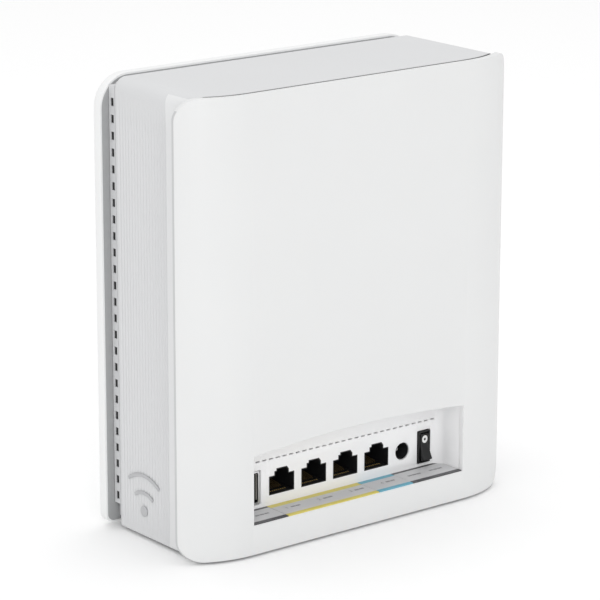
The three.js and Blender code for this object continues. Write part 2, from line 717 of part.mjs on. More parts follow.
// ---- shield cans, thermal pad and finned heat sink on the rear side of the board ----
const zCans = zParts + 25;
const processorHalf = 22;
const radioEdge = boardHalf - 12;
const zSink = zParts + 19;
const zSinkTop = boardTop - 9;

function coveredParts() {
  const back = yBoard - 0.1;
  const face = back - CAN_HEIGHT;
  const radioInner = processorHalf + 5;
  piece('processor_can', box(-processorHalf, processorHalf, face, back, zCans, zCans + 34), shieldTin);
  piece('radio_can_left', box(-radioEdge, -radioInner, face, back, zCans + 4, zCans + 30), shieldTin);
  piece('radio_can_right', box(radioInner, radioEdge, face, back, zCans + 4, zCans + 30), shieldTin);
  piece('thermal_pad', box(-16, 16, face - 1.1, face - 0.1, zCans + 3, zCans + 31), padBlue);

  const ySink = face - 1.2;
  let sink = block(-SINK_WIDTH / 2, SINK_WIDTH / 2, ySink - 2.5, ySink, zSink, zSinkTop);
  const finPitch = (SINK_WIDTH - 2 * SINK_EDGE) / (SINK_FINS - 1);
  for (let i = 0; i < SINK_FINS; i++) {
    const x = (i - (SINK_FINS - 1) / 2) * finPitch;
    sink = sink.add(block(x - 0.7, x + 0.7, ySink - 13, ySink - 2, zSink, zSinkTop));
  }
  piece('heat_sink', surface(sink), aluminium);
}
coveredParts();

// ---- line transformers and the smoothing capacitor in a row above the bay ----
piece('line_transformer_a', box(-33, -7, yBoard - 6, yBoard - 0.1, zParts, zParts + 11), ferriteBlack);
piece('line_transformer_b', box(-3, 23, yBoard - 6, yBoard - 0.1, zParts, zParts + 11), ferriteBlack);
piece('capacitor', cylinderY(4, yBoard - 11, yBoard - 0.2, 34, zParts + 5.5, 20), capacitorGrey);

// ---- heat spreader on the front side of the board ----
const spreaderY = yBoardFront + 1.6;
const spreaderFront = spreaderY + 1.5;
const spreader = block(-radioEdge, radioEdge, spreaderY, spreaderFront, zSink - 4, zSinkTop - 2)
  .add(block(-16, 16, yBoardFront + 0.2, spreaderY + 0.1, zCans + 4, zCans + 32));
piece('heat_spreader', surface(spreader), aluminium);

// ---- inner frame: stands in the sleeve in front of the board, on four bosses ----
const frameHalf = neckOut - 1;
const frameTop = neckTop - 1;
const windowHalf = screwX - 10;
const yFrameFront = yFrame + FRAME_THICKNESS;

function innerFrame() {
  const windows = [
    roundedRect(-windowHalf, windowHalf, zSink - 2, zSinkTop - 4, 6),
    roundedRect(-40, 40, neckFoot + 8.5, zParts + 5, 6),
  ];
  let frame = block(-frameHalf, frameHalf, yFrame, yFrameFront, neckFoot + 0.4, frameTop);
  for (const shape of windows) {
    frame = frame.subtract(solid(alongY(shape, yFrame - 1, yFrameFront + 1, 4)));
  }
  for (const [x, z] of screwXZ) {
    frame = frame
      .add(solid(cylinderY(3.2, yBoardFront + GAP, yFrame + 0.5, x, z, 20)))
      .subtract(solid(cylinderY(1.5, yBoard - 2, yFrameFront + 1, x, z, 16)));
  }
  piece('inner_frame', surface(frame), frameGrey);
}
innerFrame();

// ---- screws ----
const screw = () => lathe([[0, 0], [2.5, 0], [2.5, 1.4], [1.1, 1.6], [1.1, 7], [0, 7.8]], 12);
screwXZ.forEach(([x, z], i) => {
  piece(`board_screw_${i + 1}`, screw(), screwSteel, [x, yBoard - 1.9, z]);
});
['left', 'right'].forEach((name, i) => {
  const x = (2 * i - 1) * lugX;
  piece(`bay_screw_${name}`, screw().rotateX(Math.PI), screwSteel, [x, yBoardFront + 1.9, lugZ]);
});

// ---- antennas on the frame, each with its lead down to a socket on the board ----
const yAntenna = yFrameFront + GAP;
const yLead = yAntenna + LEAD_RADIUS + 0.1;
const yLeadEnd = spreaderFront + LEAD_RADIUS + 0.2;
const TOP_ANTENNA = [18, 50, 10];
const SIDE_ANTENNA = [8, 34];

function lead(name, points) {
  const curve = new THREE.CatmullRomCurve3(points.map((point) => new THREE.Vector3(...point)));
  const ring = new THREE.Shape();
  ring.absarc(0, 0, LEAD_RADIUS, 0, 2 * Math.PI);
  const options = { extrudePath: curve, steps: 12, curveSegments: 3, bevelEnabled: false };
  piece(name, new THREE.ExtrudeGeometry(ring, options), leadBlack);
}

function antennaPair(name, side) {
  const [topNear, topFar, topHeight] = TOP_ANTENNA;
  const zTopAntenna = zSinkTop + 18;
  piece(`antenna_top_${name}`, surface(sideBlock(
    side, topNear, topFar, yAntenna, yAntenna + 1, zTopAntenna, zTopAntenna + topHeight,
  )), antennaBlack);
  const topDrops = [[-8, 0, -1], [-7, 0, -7], [-2, 0, -15], [0, 0, -24], [0, -1.5, -28]];
  const socketX = windowHalf - 6;
  lead(`lead_top_${name}`, [
    ...topDrops.map(([x, y, z]) => [side * (socketX + x), yLead + y, zTopAntenna + z]),
    [side * socketX, yLeadEnd, zTopAntenna - 30.5],
  ]);

  const [sideWidth, sideHeight] = SIDE_ANTENNA;
  const sideX = frameHalf - 4.8 - sideWidth / 2;
  const zSide = zSink + 28;
  piece(`antenna_side_${name}`, surface(sideBlock(
    side, sideX - sideWidth / 2, sideX + sideWidth / 2, yAntenna, yAntenna + 1, zSide, zSide + sideHeight,
  )), antennaBlack);
  const sideDrops = [[20, 0, -1], [20, 0, -10], [14, 0, -17], [4, 0, -20], [0, -1.5, -21]];
  lead(`lead_side_${name}`, [
    ...sideDrops.map(([x, y, z]) => [side * (socketX + x), yLead + y, zSide + z]),
    [side * (socketX - 2.5), yLeadEnd, zSide - 21.5],
  ]);
}
antennaPair('left', -1);
antennaPair('right', 1);

// ---- light guide from the board to the front lens ----
piece('light_guide', box(
  -2.2, 2.2, yFrameFront + 1, yFront - FRONT_SKIN - 1.5, LENS_Z - 1, LENS_Z + 1,
), lensWhite);

// ---- pairing button in the +X side ----
function pairingButton() {
  const [halfY, halfZ] = PAIR_SIZE.map((size) => size / 2);
  const flangeY = halfY + PAIR_FLANGE;
  const flangeZ = halfZ + PAIR_FLANGE;
  const flangeX = -BODY_WALL - GAP;
  const button = block(-BODY_WALL - 1, PAIR_PROUD, -halfY, halfY, -halfZ, halfZ)
    .add(block(flangeX - 1.2, flangeX, -flangeY, flangeY, -flangeZ, flangeZ));
  piece('pairing_button', surface(button), buttonWhite, [halfBody, pairY, PAIR_Z]);
}
pairingButton();

// ---- reset button above its pinhole in the underside ----
const resetCollar = BODY_WALL + 0.8;
const resetProfile = [
  [0, 0], [RESET_RADIUS, 0], [RESET_RADIUS, resetCollar],
  [2.4, resetCollar], [2.4, resetCollar + 2], [0, resetCollar + 2],
];
const resetShape = lathe(resetProfile, 20).rotateX(Math.PI / 2);
piece('reset_button', resetShape, frameGrey, [resetX, resetY, bodyFoot + 1]);

// ---- badge on the -X side: a dot under two radio arcs ----
const BADGE_BACK = 16.3;
const BADGE_Z = 9;
const BADGE_LINE = 1.4;
const BADGE_RADII = [17, 10];
const BADGE_SPREAD = Math.PI / 5;
const BADGE_THICKNESS = 0.4;

function badge(name, shape) {
  const options = { depth: BADGE_THICKNESS, bevelEnabled: false, curveSegments: 10 };
  const geometry = new THREE.ExtrudeGeometry(shape, options);
  geometry.rotateX(Math.PI / 2).rotateZ(-Math.PI / 2);
  piece(name, geometry, badgeGrey, [-halfBody - 0.05, ySleeveEnd - BADGE_BACK, BADGE_Z]);
}

function arcBand(radius) {
  const shape = new THREE.Shape();
  const from = Math.PI / 2 - BADGE_SPREAD;
  const to = Math.PI / 2 + BADGE_SPREAD;
  shape.absarc(0, 0, radius + BADGE_LINE / 2, from, to, false);
  shape.absarc(0, 0, radius - BADGE_LINE / 2, to, from, true);
  shape.closePath();
  return shape;
}

function badgeDot() {
  const dot = new THREE.Shape();
  dot.absarc(0, 2.6, 2.2, 0, 2 * Math.PI);
  return dot;
}
badge('badge_arc_outer', arcBand(BADGE_RADII[0]));
badge('badge_arc_inner', arcBand(BADGE_RADII[1]));
badge('badge_dot', badgeDot());

export default group;
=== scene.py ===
"""Upright wireless router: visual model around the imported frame. Metres, ports towards -Y."""
import json
import math

import bmesh
import bpy
from mathutils import Matrix, Vector


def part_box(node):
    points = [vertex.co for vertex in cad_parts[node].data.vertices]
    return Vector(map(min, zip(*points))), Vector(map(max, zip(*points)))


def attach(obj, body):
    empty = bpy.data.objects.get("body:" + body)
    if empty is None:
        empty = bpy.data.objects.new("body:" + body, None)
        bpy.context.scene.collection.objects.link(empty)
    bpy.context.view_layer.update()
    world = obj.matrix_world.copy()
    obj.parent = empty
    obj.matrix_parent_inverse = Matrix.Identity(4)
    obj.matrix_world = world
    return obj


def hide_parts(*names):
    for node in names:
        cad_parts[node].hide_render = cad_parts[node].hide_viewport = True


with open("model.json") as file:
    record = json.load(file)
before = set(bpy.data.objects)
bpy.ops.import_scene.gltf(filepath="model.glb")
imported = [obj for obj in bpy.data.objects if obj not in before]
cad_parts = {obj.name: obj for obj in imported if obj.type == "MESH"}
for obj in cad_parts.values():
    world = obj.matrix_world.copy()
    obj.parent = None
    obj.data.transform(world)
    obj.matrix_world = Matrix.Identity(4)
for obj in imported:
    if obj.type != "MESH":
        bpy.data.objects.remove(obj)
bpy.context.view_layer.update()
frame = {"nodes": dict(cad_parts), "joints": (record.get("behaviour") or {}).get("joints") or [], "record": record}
nodes = frame["nodes"]
MM = 0.001


def box_mm(name):
    """The two corners of a node's box, in millimetres."""
    return tuple(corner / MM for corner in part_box(name))


# ---------------------------------------------------------------- sizes in mm, from the frame
rear_lo, rear_hi = box_mm("rear_cover")
body_lo, body_hi = box_mm("body_sleeve")
front_lo, front_hi = box_mm("front_cover")
neck_lo, neck_hi = box_mm("vent_neck")
bay_hi = box_mm("port_bay")[1]
pair_lo, pair_hi = box_mm("pairing_button")
reset_lo, reset_hi = box_mm("reset_button")
usb_lo, usb_hi = box_mm("usb_shell")
tongue_lo, tongue_hi = box_mm("usb_tongue")
dc_lo, dc_hi = box_mm("dc_inlet")
pin_lo, pin_hi = box_mm("dc_pin")
switch_lo, switch_hi = box_mm("switch_box")
rocker_lo, rocker_hi = box_mm("power_rocker")
lens_lo, lens_hi = box_mm("led_lens")
legend_top = box_mm("legend_lan")[1].z

HALF_REAR = rear_hi.x
HALF_BODY = body_hi.x
HALF_FRONT = front_hi.x
Y_REAR = rear_lo.y
Y_FRONT = front_hi.y
Y_SLEEVE_END = body_hi.y
Z_FOOT = rear_lo.z
Z_TOP = rear_hi.z
pair_mid = (pair_lo + pair_hi) / 2
reset_mid = (reset_lo + reset_hi) / 2
usb_mid = (usb_lo + usb_hi) / 2
dc_mid = (dc_lo + dc_hi) / 2
switch_mid = (switch_lo + switch_hi) / 2
rocker_mid = (rocker_lo + rocker_hi) / 2
FEET = ("foot_left_rear", "foot_left_front", "foot_right_rear", "foot_right_front")

# ---------------------------------------------------------------- sizes in mm that the frame does not give
COVER = 2.6
COVER_CORNER = 8.5
WING_START = 53.8
WING_REACH = 11.0
WING_RADIUS = ((HALF_REAR - WING_START) ** 2 + WING_REACH ** 2) / (2 * WING_REACH)
BODY_WALL = 2.2
BODY_TOP_CORNER = 5.0
BODY_FOOT_CORNER = 1.2
RIB_PITCH = 1.85
BAY_HALF = 53.0
BAY_FLOOR = 12.5
BAY_END_TOP = 40.1
BAY_ARCH = 2.7
BAY_FILLET = 3.5
BAY_WALL = 1.6
Y_PLATE = Y_REAR + 15.0
Y_PLATE_BACK = Y_PLATE + BAY_WALL
Y_COVER_BACK = Y_FRONT - 5.1
FRONT_TOP_CORNER = 13.0
FRONT_FOOT_CORNER = 4.0
VENT_PITCH = 6.53
VENT_COUNT = 25
VENT_FIRST = neck_lo.z + 9.7
VENT_Y = (Y_SLEEVE_END + Y_COVER_BACK) / 2 - 0.1
JACK_BASE = 16.9
JACK_HALF = 5.95
JACK_HEIGHT = 7.1
JACK_COUNT = 4
JACK_PITCH = 16
JACK_FIRST = -27.85
JACK_XS = [JACK_FIRST + JACK_PITCH * i for i in range(JACK_COUNT)]
CONTACT_COUNT = 8
CONTACT_PITCH = 1.02
FLOOR_SLOTS = 12
FLOOR_SLOT_PITCH = 8
FRONT_EDGE = 1.6
FRONT_THICKNESS = 2.0
BAY_SLOTS = 31
BAY_SLOT_PITCH = 3.3
BAY_SLOT_HALF = 1.1
BAY_SLOT_FOOT = 31.1
BAY_SLOT_TOP = 31.7
DC_BORE = 3.0
DC_COLLAR = 3.3
ROCKER_TOP = (-1.2, 5.45)
ROCKER_FOLD = (-1.17, 0.3)
ROCKER_FOOT = (-3.28, -4.6)
GAP = 0.3

# ---------------------------------------------------------------- sizes in mm that only the looks have
COVER_EDGE = 0.9
COVER_DROP = 0.3
WING_CUTS = 24
RIB_DEPTH = 0.34
RIB_SAMPLES = 5
RIB_START = Y_SLEEVE_END - 1.6
RIB_END = -8.5
SIDE_GAP = 0.35
TOP_GAP = 1.1
SHADE_RING = 0.4
SHADE_RING_RIM = 0.9
SHADE_RING_REACH = 9.0
VENT_RECESS = 0.35
COLLAR = 0.3
TOP_GAP_START = 5.0
TOP_GAP_RUN = 4.0
VENT_TOOTH = (0.95, 1.55)
PAIR_HOLE_HALF = (3.3, 5.8)
PINHOLE_RADIUS = 1.5
POCKET_RADIUS = 5.3
POCKET_DEPTH = 0.8
UPPER_BOW = 0.12
LOWER_BOW = 0.16
PRINT_DEPTH = 0.55
PRINT_HEIGHT = 0.03


# ---------------------------------------------------------------- materials
IOR = 1.46
GLOSS_DRIFT = 0.05
BROAD_SCALE = 28.0
RELIEF_HEIGHT = 0.0002
NEAR_BAND = 2.3
M = {}


def object_noise(tree, coords, scale, detail):
    """A noise texture in object space."""
    noise = tree.nodes.new("ShaderNodeTexNoise")
    noise.inputs["Scale"].default_value = scale
    noise.inputs["Detail"].default_value = detail
    tree.links.new(coords.outputs["Object"], noise.inputs["Vector"])
    return noise


def material(name, color, rough, metal=0.0, bump=0.0, scale=900.0, tint=0.0, coat=0.0, sss=0.0):
    """A surface with noise relief, uneven gloss and a faint drift of colour, all in object space."""
    mat = bpy.data.materials.new(name)
    mat.use_nodes = True
    tree = mat.node_tree
    shader = tree.nodes["Principled BSDF"]
    shader.inputs["Metallic"].default_value = metal
    shader.inputs["IOR"].default_value = IOR
    shader.inputs["Coat Weight"].default_value = coat
    shader.inputs["Coat Roughness"].default_value = 0.2
    shader.inputs["Base Color"].default_value = (*color, 1)
    if sss:
        shader.inputs["Subsurface Weight"].default_value = sss
        shader.inputs["Subsurface Radius"].default_value = (1.0, 0.9, 0.8)
        shader.inputs["Subsurface Scale"].default_value = 0.0012
    coords = tree.nodes.new("ShaderNodeTexCoord")
    broad = object_noise(tree, coords, BROAD_SCALE, 2.0)
    gloss = tree.nodes.new("ShaderNodeMapRange")
    gloss.inputs["To Min"].default_value = max(0.02, rough - GLOSS_DRIFT)
    gloss.inputs["To Max"].default_value = min(1.0, rough + GLOSS_DRIFT)
    tree.links.new(broad.outputs["Fac"], gloss.inputs["Value"])
    tree.links.new(gloss.outputs["Result"], shader.inputs["Roughness"])
    if tint:
        ramp = tree.nodes.new("ShaderNodeValToRGB")
        ramp.color_ramp.elements[0].position = 0.3
        ramp.color_ramp.elements[1].position = 0.7
        ramp.color_ramp.elements[0].color = [c * (1 - tint) for c in color] + [1]
        ramp.color_ramp.elements[1].color = list(color) + [1]
        tree.links.new(broad.outputs["Fac"], ramp.inputs["Fac"])
        tree.links.new(ramp.outputs["Color"], shader.inputs["Base Color"])
    if bump:
        fine = object_noise(tree, coords, scale, 3.0)
        relief = tree.nodes.new("ShaderNodeBump")
        relief.inputs["Strength"].default_value = bump
        relief.inputs["Distance"].default_value = RELIEF_HEIGHT
        tree.links.new(fine.outputs["Fac"], relief.inputs["Height"])
        tree.links.new(relief.outputs["Normal"], shader.inputs["Normal"])
    M[name] = mat
    return mat


material("shell_white", (0.73, 0.735, 0.735), 0.38, bump=0.05, scale=2600, tint=0.012, sss=0.05)
# painted shade: the sleeve's white is darker than the rim's copy on the next line, standing in for the shade among
# the ribs
material("sleeve_white", (0.655, 0.66, 0.668), 0.5, bump=0.08, scale=2200, tint=0.015)
material("rim_white_lit_copy", (0.74, 0.745, 0.75), 0.42, bump=0.05, scale=2200, tint=0.012)
material("neck_grey", (0.62, 0.625, 0.635), 0.55, bump=0.1, scale=1800, tint=0.03)
# painted shade: grey for the front cover's back face round the neck, where the sleeve shades it
material("front_back_painted_shade", (0.37, 0.375, 0.38), 0.3, bump=0.04, scale=2400, tint=0.02)
# painted shade: grey for the rear cover's edge faces, standing in for the dark gap line beside the sleeve
material("cover_edge_painted_shade", (0.55, 0.555, 0.56), 0.5, bump=0.05, scale=2400, tint=0.012)
# painted light: the front cover's white is a lighter copy of the shell's white, brightening its rounded edge
material("front_white", (0.82, 0.825, 0.825), 0.38, bump=0.05, scale=2600, tint=0.012, sss=0.05)
# painted shade: near-black for the sheets behind the side vents, standing in for the dark inside
material("vent_painted_shade", (0.02, 0.02, 0.021), 0.8, bump=0.1, scale=1500, tint=0.05)
# painted shade: near-black for the ring in the gap behind the sleeve
material("gap_painted_shade", (0.16, 0.16, 0.165), 0.8, bump=0.1, scale=1500, tint=0.05)
# painted light: the bay's white is a lighter copy of the shell's white, brightening the recess that little light
# reaches
material("bay_white", (0.88, 0.88, 0.885), 0.45, bump=0.06, scale=2400, tint=0.012)
material("rubber", (0.2, 0.2, 0.21), 0.85, bump=0.3, scale=1500, tint=0.1)
material("lens", (0.88, 0.9, 0.92), 0.22, bump=0.02, tint=0.01, coat=0.3, sss=0.2)
material("port_black", (0.008, 0.008, 0.009), 0.55, bump=0.15, scale=1600, tint=0.2)
material("contact_gold", (0.92, 0.66, 0.26), 0.3, metal=0.75, bump=0.03, tint=0.08)
material("spring_gold", (0.2, 0.14, 0.06), 0.4, metal=0.6, bump=0.03, tint=0.08)
material("socket_steel", (0.72, 0.72, 0.73), 0.34, metal=0.9, bump=0.06, tint=0.06)
material("tongue_white", (0.62, 0.6, 0.55), 0.5, bump=0.06, tint=0.03)
material("switch_black", (0.006, 0.006, 0.0065), 0.36, bump=0.08, scale=1700, tint=0.2)
material("mark_white", (0.8, 0.8, 0.79), 0.5, bump=0.03, tint=0.03)
material("can_tin", (0.6, 0.61, 0.62), 0.33, metal=1.0, bump=0.08, scale=700, tint=0.06)
material("pad", (0.27, 0.38, 0.46), 0.85, bump=0.2, scale=900, tint=0.05)
material("aluminium", (0.62, 0.63, 0.64), 0.36, metal=1.0, bump=0.12, scale=500, tint=0.05)
material("dark_part", (0.025, 0.025, 0.028), 0.55, bump=0.12, scale=1200, tint=0.15)
material("frame_grey", (0.27, 0.28, 0.29), 0.6, bump=0.12, scale=1300, tint=0.05)
material("pin_steel", (0.86, 0.86, 0.87), 0.3, metal=0.5, bump=0.02, tint=0.02)
material("screw_steel", (0.42, 0.42, 0.43), 0.32, metal=1.0, bump=0.08, tint=0.06)
material("lead_black", (0.012, 0.012, 0.013), 0.5, bump=0.15, scale=1800, tint=0.15)
material("button_white", (0.74, 0.745, 0.75), 0.45, bump=0.06, scale=2400, tint=0.012)
material("badge_grey", (0.46, 0.465, 0.475), 0.42, bump=0.05, scale=1800, tint=0.04, coat=0.2)
material("print_grey", (0.3, 0.3, 0.31), 0.5, bump=0.04, tint=0.05)


def board_material():
    """Green solder resist over a maze of copper traces."""
    mat = material("board_green", (0.02, 0.13, 0.055), 0.42, bump=0.05, tint=0.1)
    tree = mat.node_tree
    shader = tree.nodes["Principled BSDF"]
    coords = tree.nodes["Texture Coordinate"]
    cells = tree.nodes.new("ShaderNodeTexVoronoi")
    cells.distance = "CHEBYCHEV"
    cells.feature = "F1"
    cells.inputs["Scale"].default_value = 260.0
    tree.links.new(coords.outputs["Object"], cells.inputs["Vector"])
    step = tree.nodes.new("ShaderNodeValToRGB")
    step.color_ramp.elements[0].position = 0.42
    step.color_ramp.elements[0].color = (0.018, 0.115, 0.05, 1)
    step.color_ramp.elements[1].position = 0.5
    step.color_ramp.elements[1].color = (0.05, 0.24, 0.1, 1)
    tree.links.new(cells.outputs["Distance"], step.inputs["Fac"])
    tree.links.new(step.outputs["Color"], shader.inputs["Base Color"])


board_material()


def legend_material(name, band, far_depth):
    """Silver-grey strip with a coloured band along its outer edge and a thin one along its far edge."""
    mat = material(name, (0.6, 0.6, 0.61), 0.42, bump=0.04, tint=0.02)
    tree = mat.node_tree
    shader = tree.nodes["Principled BSDF"]
    coords = tree.nodes["Texture Coordinate"]
    split = tree.nodes.new("ShaderNodeSeparateXYZ")
    tree.links.new(coords.outputs["Object"], split.inputs["Vector"])
    near = tree.nodes.new("ShaderNodeMath")
    near.operation = "LESS_THAN"
    near.inputs[1].default_value = (Y_REAR + NEAR_BAND) * MM
    far = tree.nodes.new("ShaderNodeMath")
    far.operation = "GREATER_THAN"
    far.inputs[1].default_value = (Y_PLATE - far_depth) * MM
    for node in (near, far):
        tree.links.new(split.outputs["Y"], node.inputs[0])
    either = tree.nodes.new("ShaderNodeMath")
    either.operation = "MAXIMUM"
    tree.links.new(near.outputs[0], either.inputs[0])
    tree.links.new(far.outputs[0], either.inputs[1])
    ramp = next(n for n in tree.nodes if n.type == "VALTORGB")
    mix = tree.nodes.new("ShaderNodeMix")
    mix.data_type = "RGBA"
    tree.links.new(either.outputs[0], mix.inputs["Factor"])
    tree.links.new(ramp.outputs["Color"], mix.inputs[6])
    mix.inputs[7].default_value = (*band, 1)
    tree.links.new(mix.outputs[2], shader.inputs["Base Color"])


legend_material("legend_grey", (0.075, 0.075, 0.08), 2.4)
legend_material("legend_yellow", (0.68, 0.58, 0.13), 3.8)
legend_material("legend_blue", (0.13, 0.4, 0.52), 3.4)


# ---------------------------------------------------------------- mesh helpers (all take millimetres)
LONG_SIDE = 20


def rounded_outline(x0, x1, z0, z1, top, foot, steps=14, side_steps=1):
    """Points round a rectangle with its own top and bottom corner radii, anticlockwise seen from -Y.

    Sides longer than LONG_SIDE are split into side_steps.
    """
    points = []
    corners = [
        (x1 - foot, z0 + foot, foot, -90), (x1 - top, z1 - top, top, 0),
        (x0 + top, z1 - top, top, 90), (x0 + foot, z0 + foot, foot, 180),
    ]
    for cx, cz, r, start in corners:
        for i in range(steps + 1):
            a = math.radians(start + 90 * i / steps)
            points.append((cx + r * math.cos(a), cz + r * math.sin(a)))
    if side_steps > 1:
        dense = []
        count = len(points)
        for i, (x, z) in enumerate(points):
            dense.append((x, z))
            nx, nz = points[(i + 1) % count]
            if math.hypot(nx - x, nz - z) > LONG_SIDE:
                for k in range(1, side_steps):
                    t = k / side_steps
                    dense.append((x + (nx - x) * t, z + (nz - z) * t))
        points = dense
    return points


def shade(mesh, smooth_angle):
    """Smooth shading, broken where faces meet at more than the given angle in degrees."""
    for poly in mesh.polygons:
        poly.use_smooth = True
    mesh.set_sharp_from_angle(angle=math.radians(smooth_angle))


def apply_modifiers(obj):
    """Replaces the object's mesh by the result of its modifiers."""
    bpy.context.view_layer.update()
    graph = bpy.context.evaluated_depsgraph_get()
    made = bpy.data.meshes.new_from_object(obj.evaluated_get(graph))
    obj.modifiers.clear()
    obj.data = made


def bevel_edges(obj, width, segments, angle):
    """Rounds the edges sharper than the given angle in degrees."""
    mod = obj.modifiers.new("edge", "BEVEL")
    mod.width = width * MM
    mod.segments = segments
    mod.limit_method = "ANGLE"
    mod.angle_limit = math.radians(angle)
    apply_modifiers(obj)


def finish_mesh(name, bm, mats, smooth_angle=40, bevel=0.0, bevel_segments=2, bevel_angle=35):
    """Turns a bmesh into a linked object with its materials, rounded edges and shading."""
    bmesh.ops.remove_doubles(bm, verts=bm.verts, dist=1e-6)
    bmesh.ops.recalc_face_normals(bm, faces=bm.faces)
    mesh = bpy.data.meshes.new(name)
    bm.to_mesh(mesh)
    bm.free()
    obj = bpy.data.objects.new(name, mesh)
    bpy.context.scene.collection.objects.link(obj)
    for mat in mats if isinstance(mats, list) else [mats]:
        mesh.materials.append(mat)
    if bevel:
        bevel_edges(obj, bevel, bevel_segments, bevel_angle)
    shade(obj.data, smooth_angle)
    return obj


def bridge(bm, near, far):
    """A band of faces between two closed rings of vertices."""
    n = len(near)
    for i in range(n):
        bm.faces.new((near[i], near[(i + 1) % n], far[(i + 1) % n], far[i]))


def loft(bm, rings, tube=False):
    """Joins rings of (x, y, z) points into a skin, with both ends capped or, as a tube, joined."""
    made = [[bm.verts.new((x * MM, y * MM, z * MM)) for x, y, z in ring] for ring in rings]
    for near, far in zip(made, made[1:]):
        bridge(bm, near, far)
    if tube:
        bridge(bm, made[-1], made[0])
    else:
        bm.faces.new(made[0])
        bm.faces.new(list(reversed(made[-1])))


def plate_with_holes(outer, holes, y0, y1):
    """A flat plate in X and Z from y0 to y1, with any number of openings, as a bmesh."""
    bm = bmesh.new()
    edges = []
    for loop in [outer] + holes:
        verts = [bm.verts.new((x * MM, y0 * MM, z * MM)) for x, z in loop]
        for i, v in enumerate(verts):
            edges.append(bm.edges.new((v, verts[(i + 1) % len(verts)])))
    bmesh.ops.triangle_fill(bm, use_beauty=True, use_dissolve=True, edges=edges, normal=(0, -1, 0))
    faces = list(bm.faces)
    result = bmesh.ops.extrude_face_region(bm, geom=faces)
    moved = [g for g in result["geom"] if isinstance(g, bmesh.types.BMVert)]
    bmesh.ops.translate(bm, verts=moved, vec=(0, (y1 - y0) * MM, 0))
    return bm


def box_bm(bm, x0, x1, y0, y1, z0, z1):
    """Adds a box to bm."""
    verts = [bm.verts.new((x * MM, y * MM, z * MM))
             for x in (x0, x1) for y in (y0, y1) for z in (z0, z1)]
    for quad in ((0, 1, 3, 2), (4, 6, 7, 5), (0, 4, 5, 1), (2, 3, 7, 6), (0, 2, 6, 4), (1, 5, 7, 3)):
        bm.faces.new([verts[i] for i in quad])


def arc_points(cx, cz, r, a0, a1, n):
    """Points on an arc from angle a0 to a1, in degrees."""
    return [(cx + r * math.cos(math.radians(a0 + (a1 - a0) * i / n)),
             cz + r * math.sin(math.radians(a0 + (a1 - a0) * i / n))) for i in range(n + 1)]


def arched_outline(half, z0, z1, rise, n=32):
    """A window with a flat foot at z0 and a top that arches up by rise from z1."""
    radius = (half * half + rise * rise) / (2 * rise)
    spread = math.degrees(math.asin(half / radius))
    top = arc_points(0, z1 + rise - radius, radius, 90 - spread, 90 + spread, n)
    return [(-half, z0), (half, z0)] + top


def round_loop(cx, cz, radius, n=48):
    """A circle of n points."""
    return [(cx + radius * math.cos(2 * math.pi * i / n), cz + radius * math.sin(2 * math.pi * i / n))
            for i in range(n)]


def prism_into(bm, loop, y0, y1):
    """Adds the solid that a loop of (x, z) points sweeps from y0 to y1."""
    near = [bm.verts.new((x * MM, y0 * MM, z * MM)) for x, z in loop]
    far = [bm.verts.new((x * MM, y1 * MM, z * MM)) for x, z in loop]
    bridge(bm, near, far)
    bm.faces.new(list(reversed(near)))
    bm.faces.new(far)


def rect_loop(x0, x1, z0, z1, r=0.0, n=5):
    """A rectangle, its corners rounded where r is given."""
    if r <= 0:
        return [(x0, z0), (x1, z0), (x1, z1), (x0, z1)]
    return rounded_outline(x0, x1, z0, z1, r, r, n)


def cutter(name, x0, x1, y0, y1, z0, z1, corner=0.0):
    """A box to cut away, all its edges rounded where corner is given."""
    bm = bmesh.new()
    box_bm(bm, x0, x1, y0, y1, z0, z1)
    return finish_mesh(name, bm, M["sleeve_white"], bevel=corner, bevel_segments=3)


def round_cutter(name, x, y, z0, z1, radius):
    """An upright cylinder to cut away."""
    bm = bmesh.new()
    middle = Matrix.Translation((x * MM, y * MM, (z0 + z1) / 2 * MM))
    bmesh.ops.create_cone(bm, cap_ends=True, segments=32, radius1=radius * MM, radius2=radius * MM,
                          depth=(z1 - z0) * MM, matrix=middle)
    return finish_mesh(name, bm, M["sleeve_white"])


def cut_away(obj, tools):
    """Cuts the tools out of obj for good, then deletes them."""
    for tool in tools:
        mod = obj.modifiers.new("cut", "BOOLEAN")
        mod.object = tool
        mod.operation = "DIFFERENCE"
        mod.solver = "EXACT"
    apply_modifiers(obj)
    for tool in tools:
        bpy.data.objects.remove(tool, do_unlink=True)
    shade(obj.data, 45)


# ---------------------------------------------------------------- rear cover
def cover_thickness(x):
    """The cover's thickness at x: even behind the sleeve, thinning to its edge beyond it."""
    beyond = max(0.0, abs(x) - HALF_BODY) / (HALF_REAR - HALF_BODY)
    return COVER + (COVER_EDGE - COVER) * min(1.0, beyond)


def cover_y(x, inset):
    """How far forward the cover lies at x, on its outer face (inset 0) or its inner face."""
    dx = max(0.0, abs(x) - WING_START)
    radius = WING_RADIUS - inset
    dx = min(dx, radius - 0.01)
    return Y_REAR + WING_RADIUS - math.sqrt(radius * radius - dx * dx)


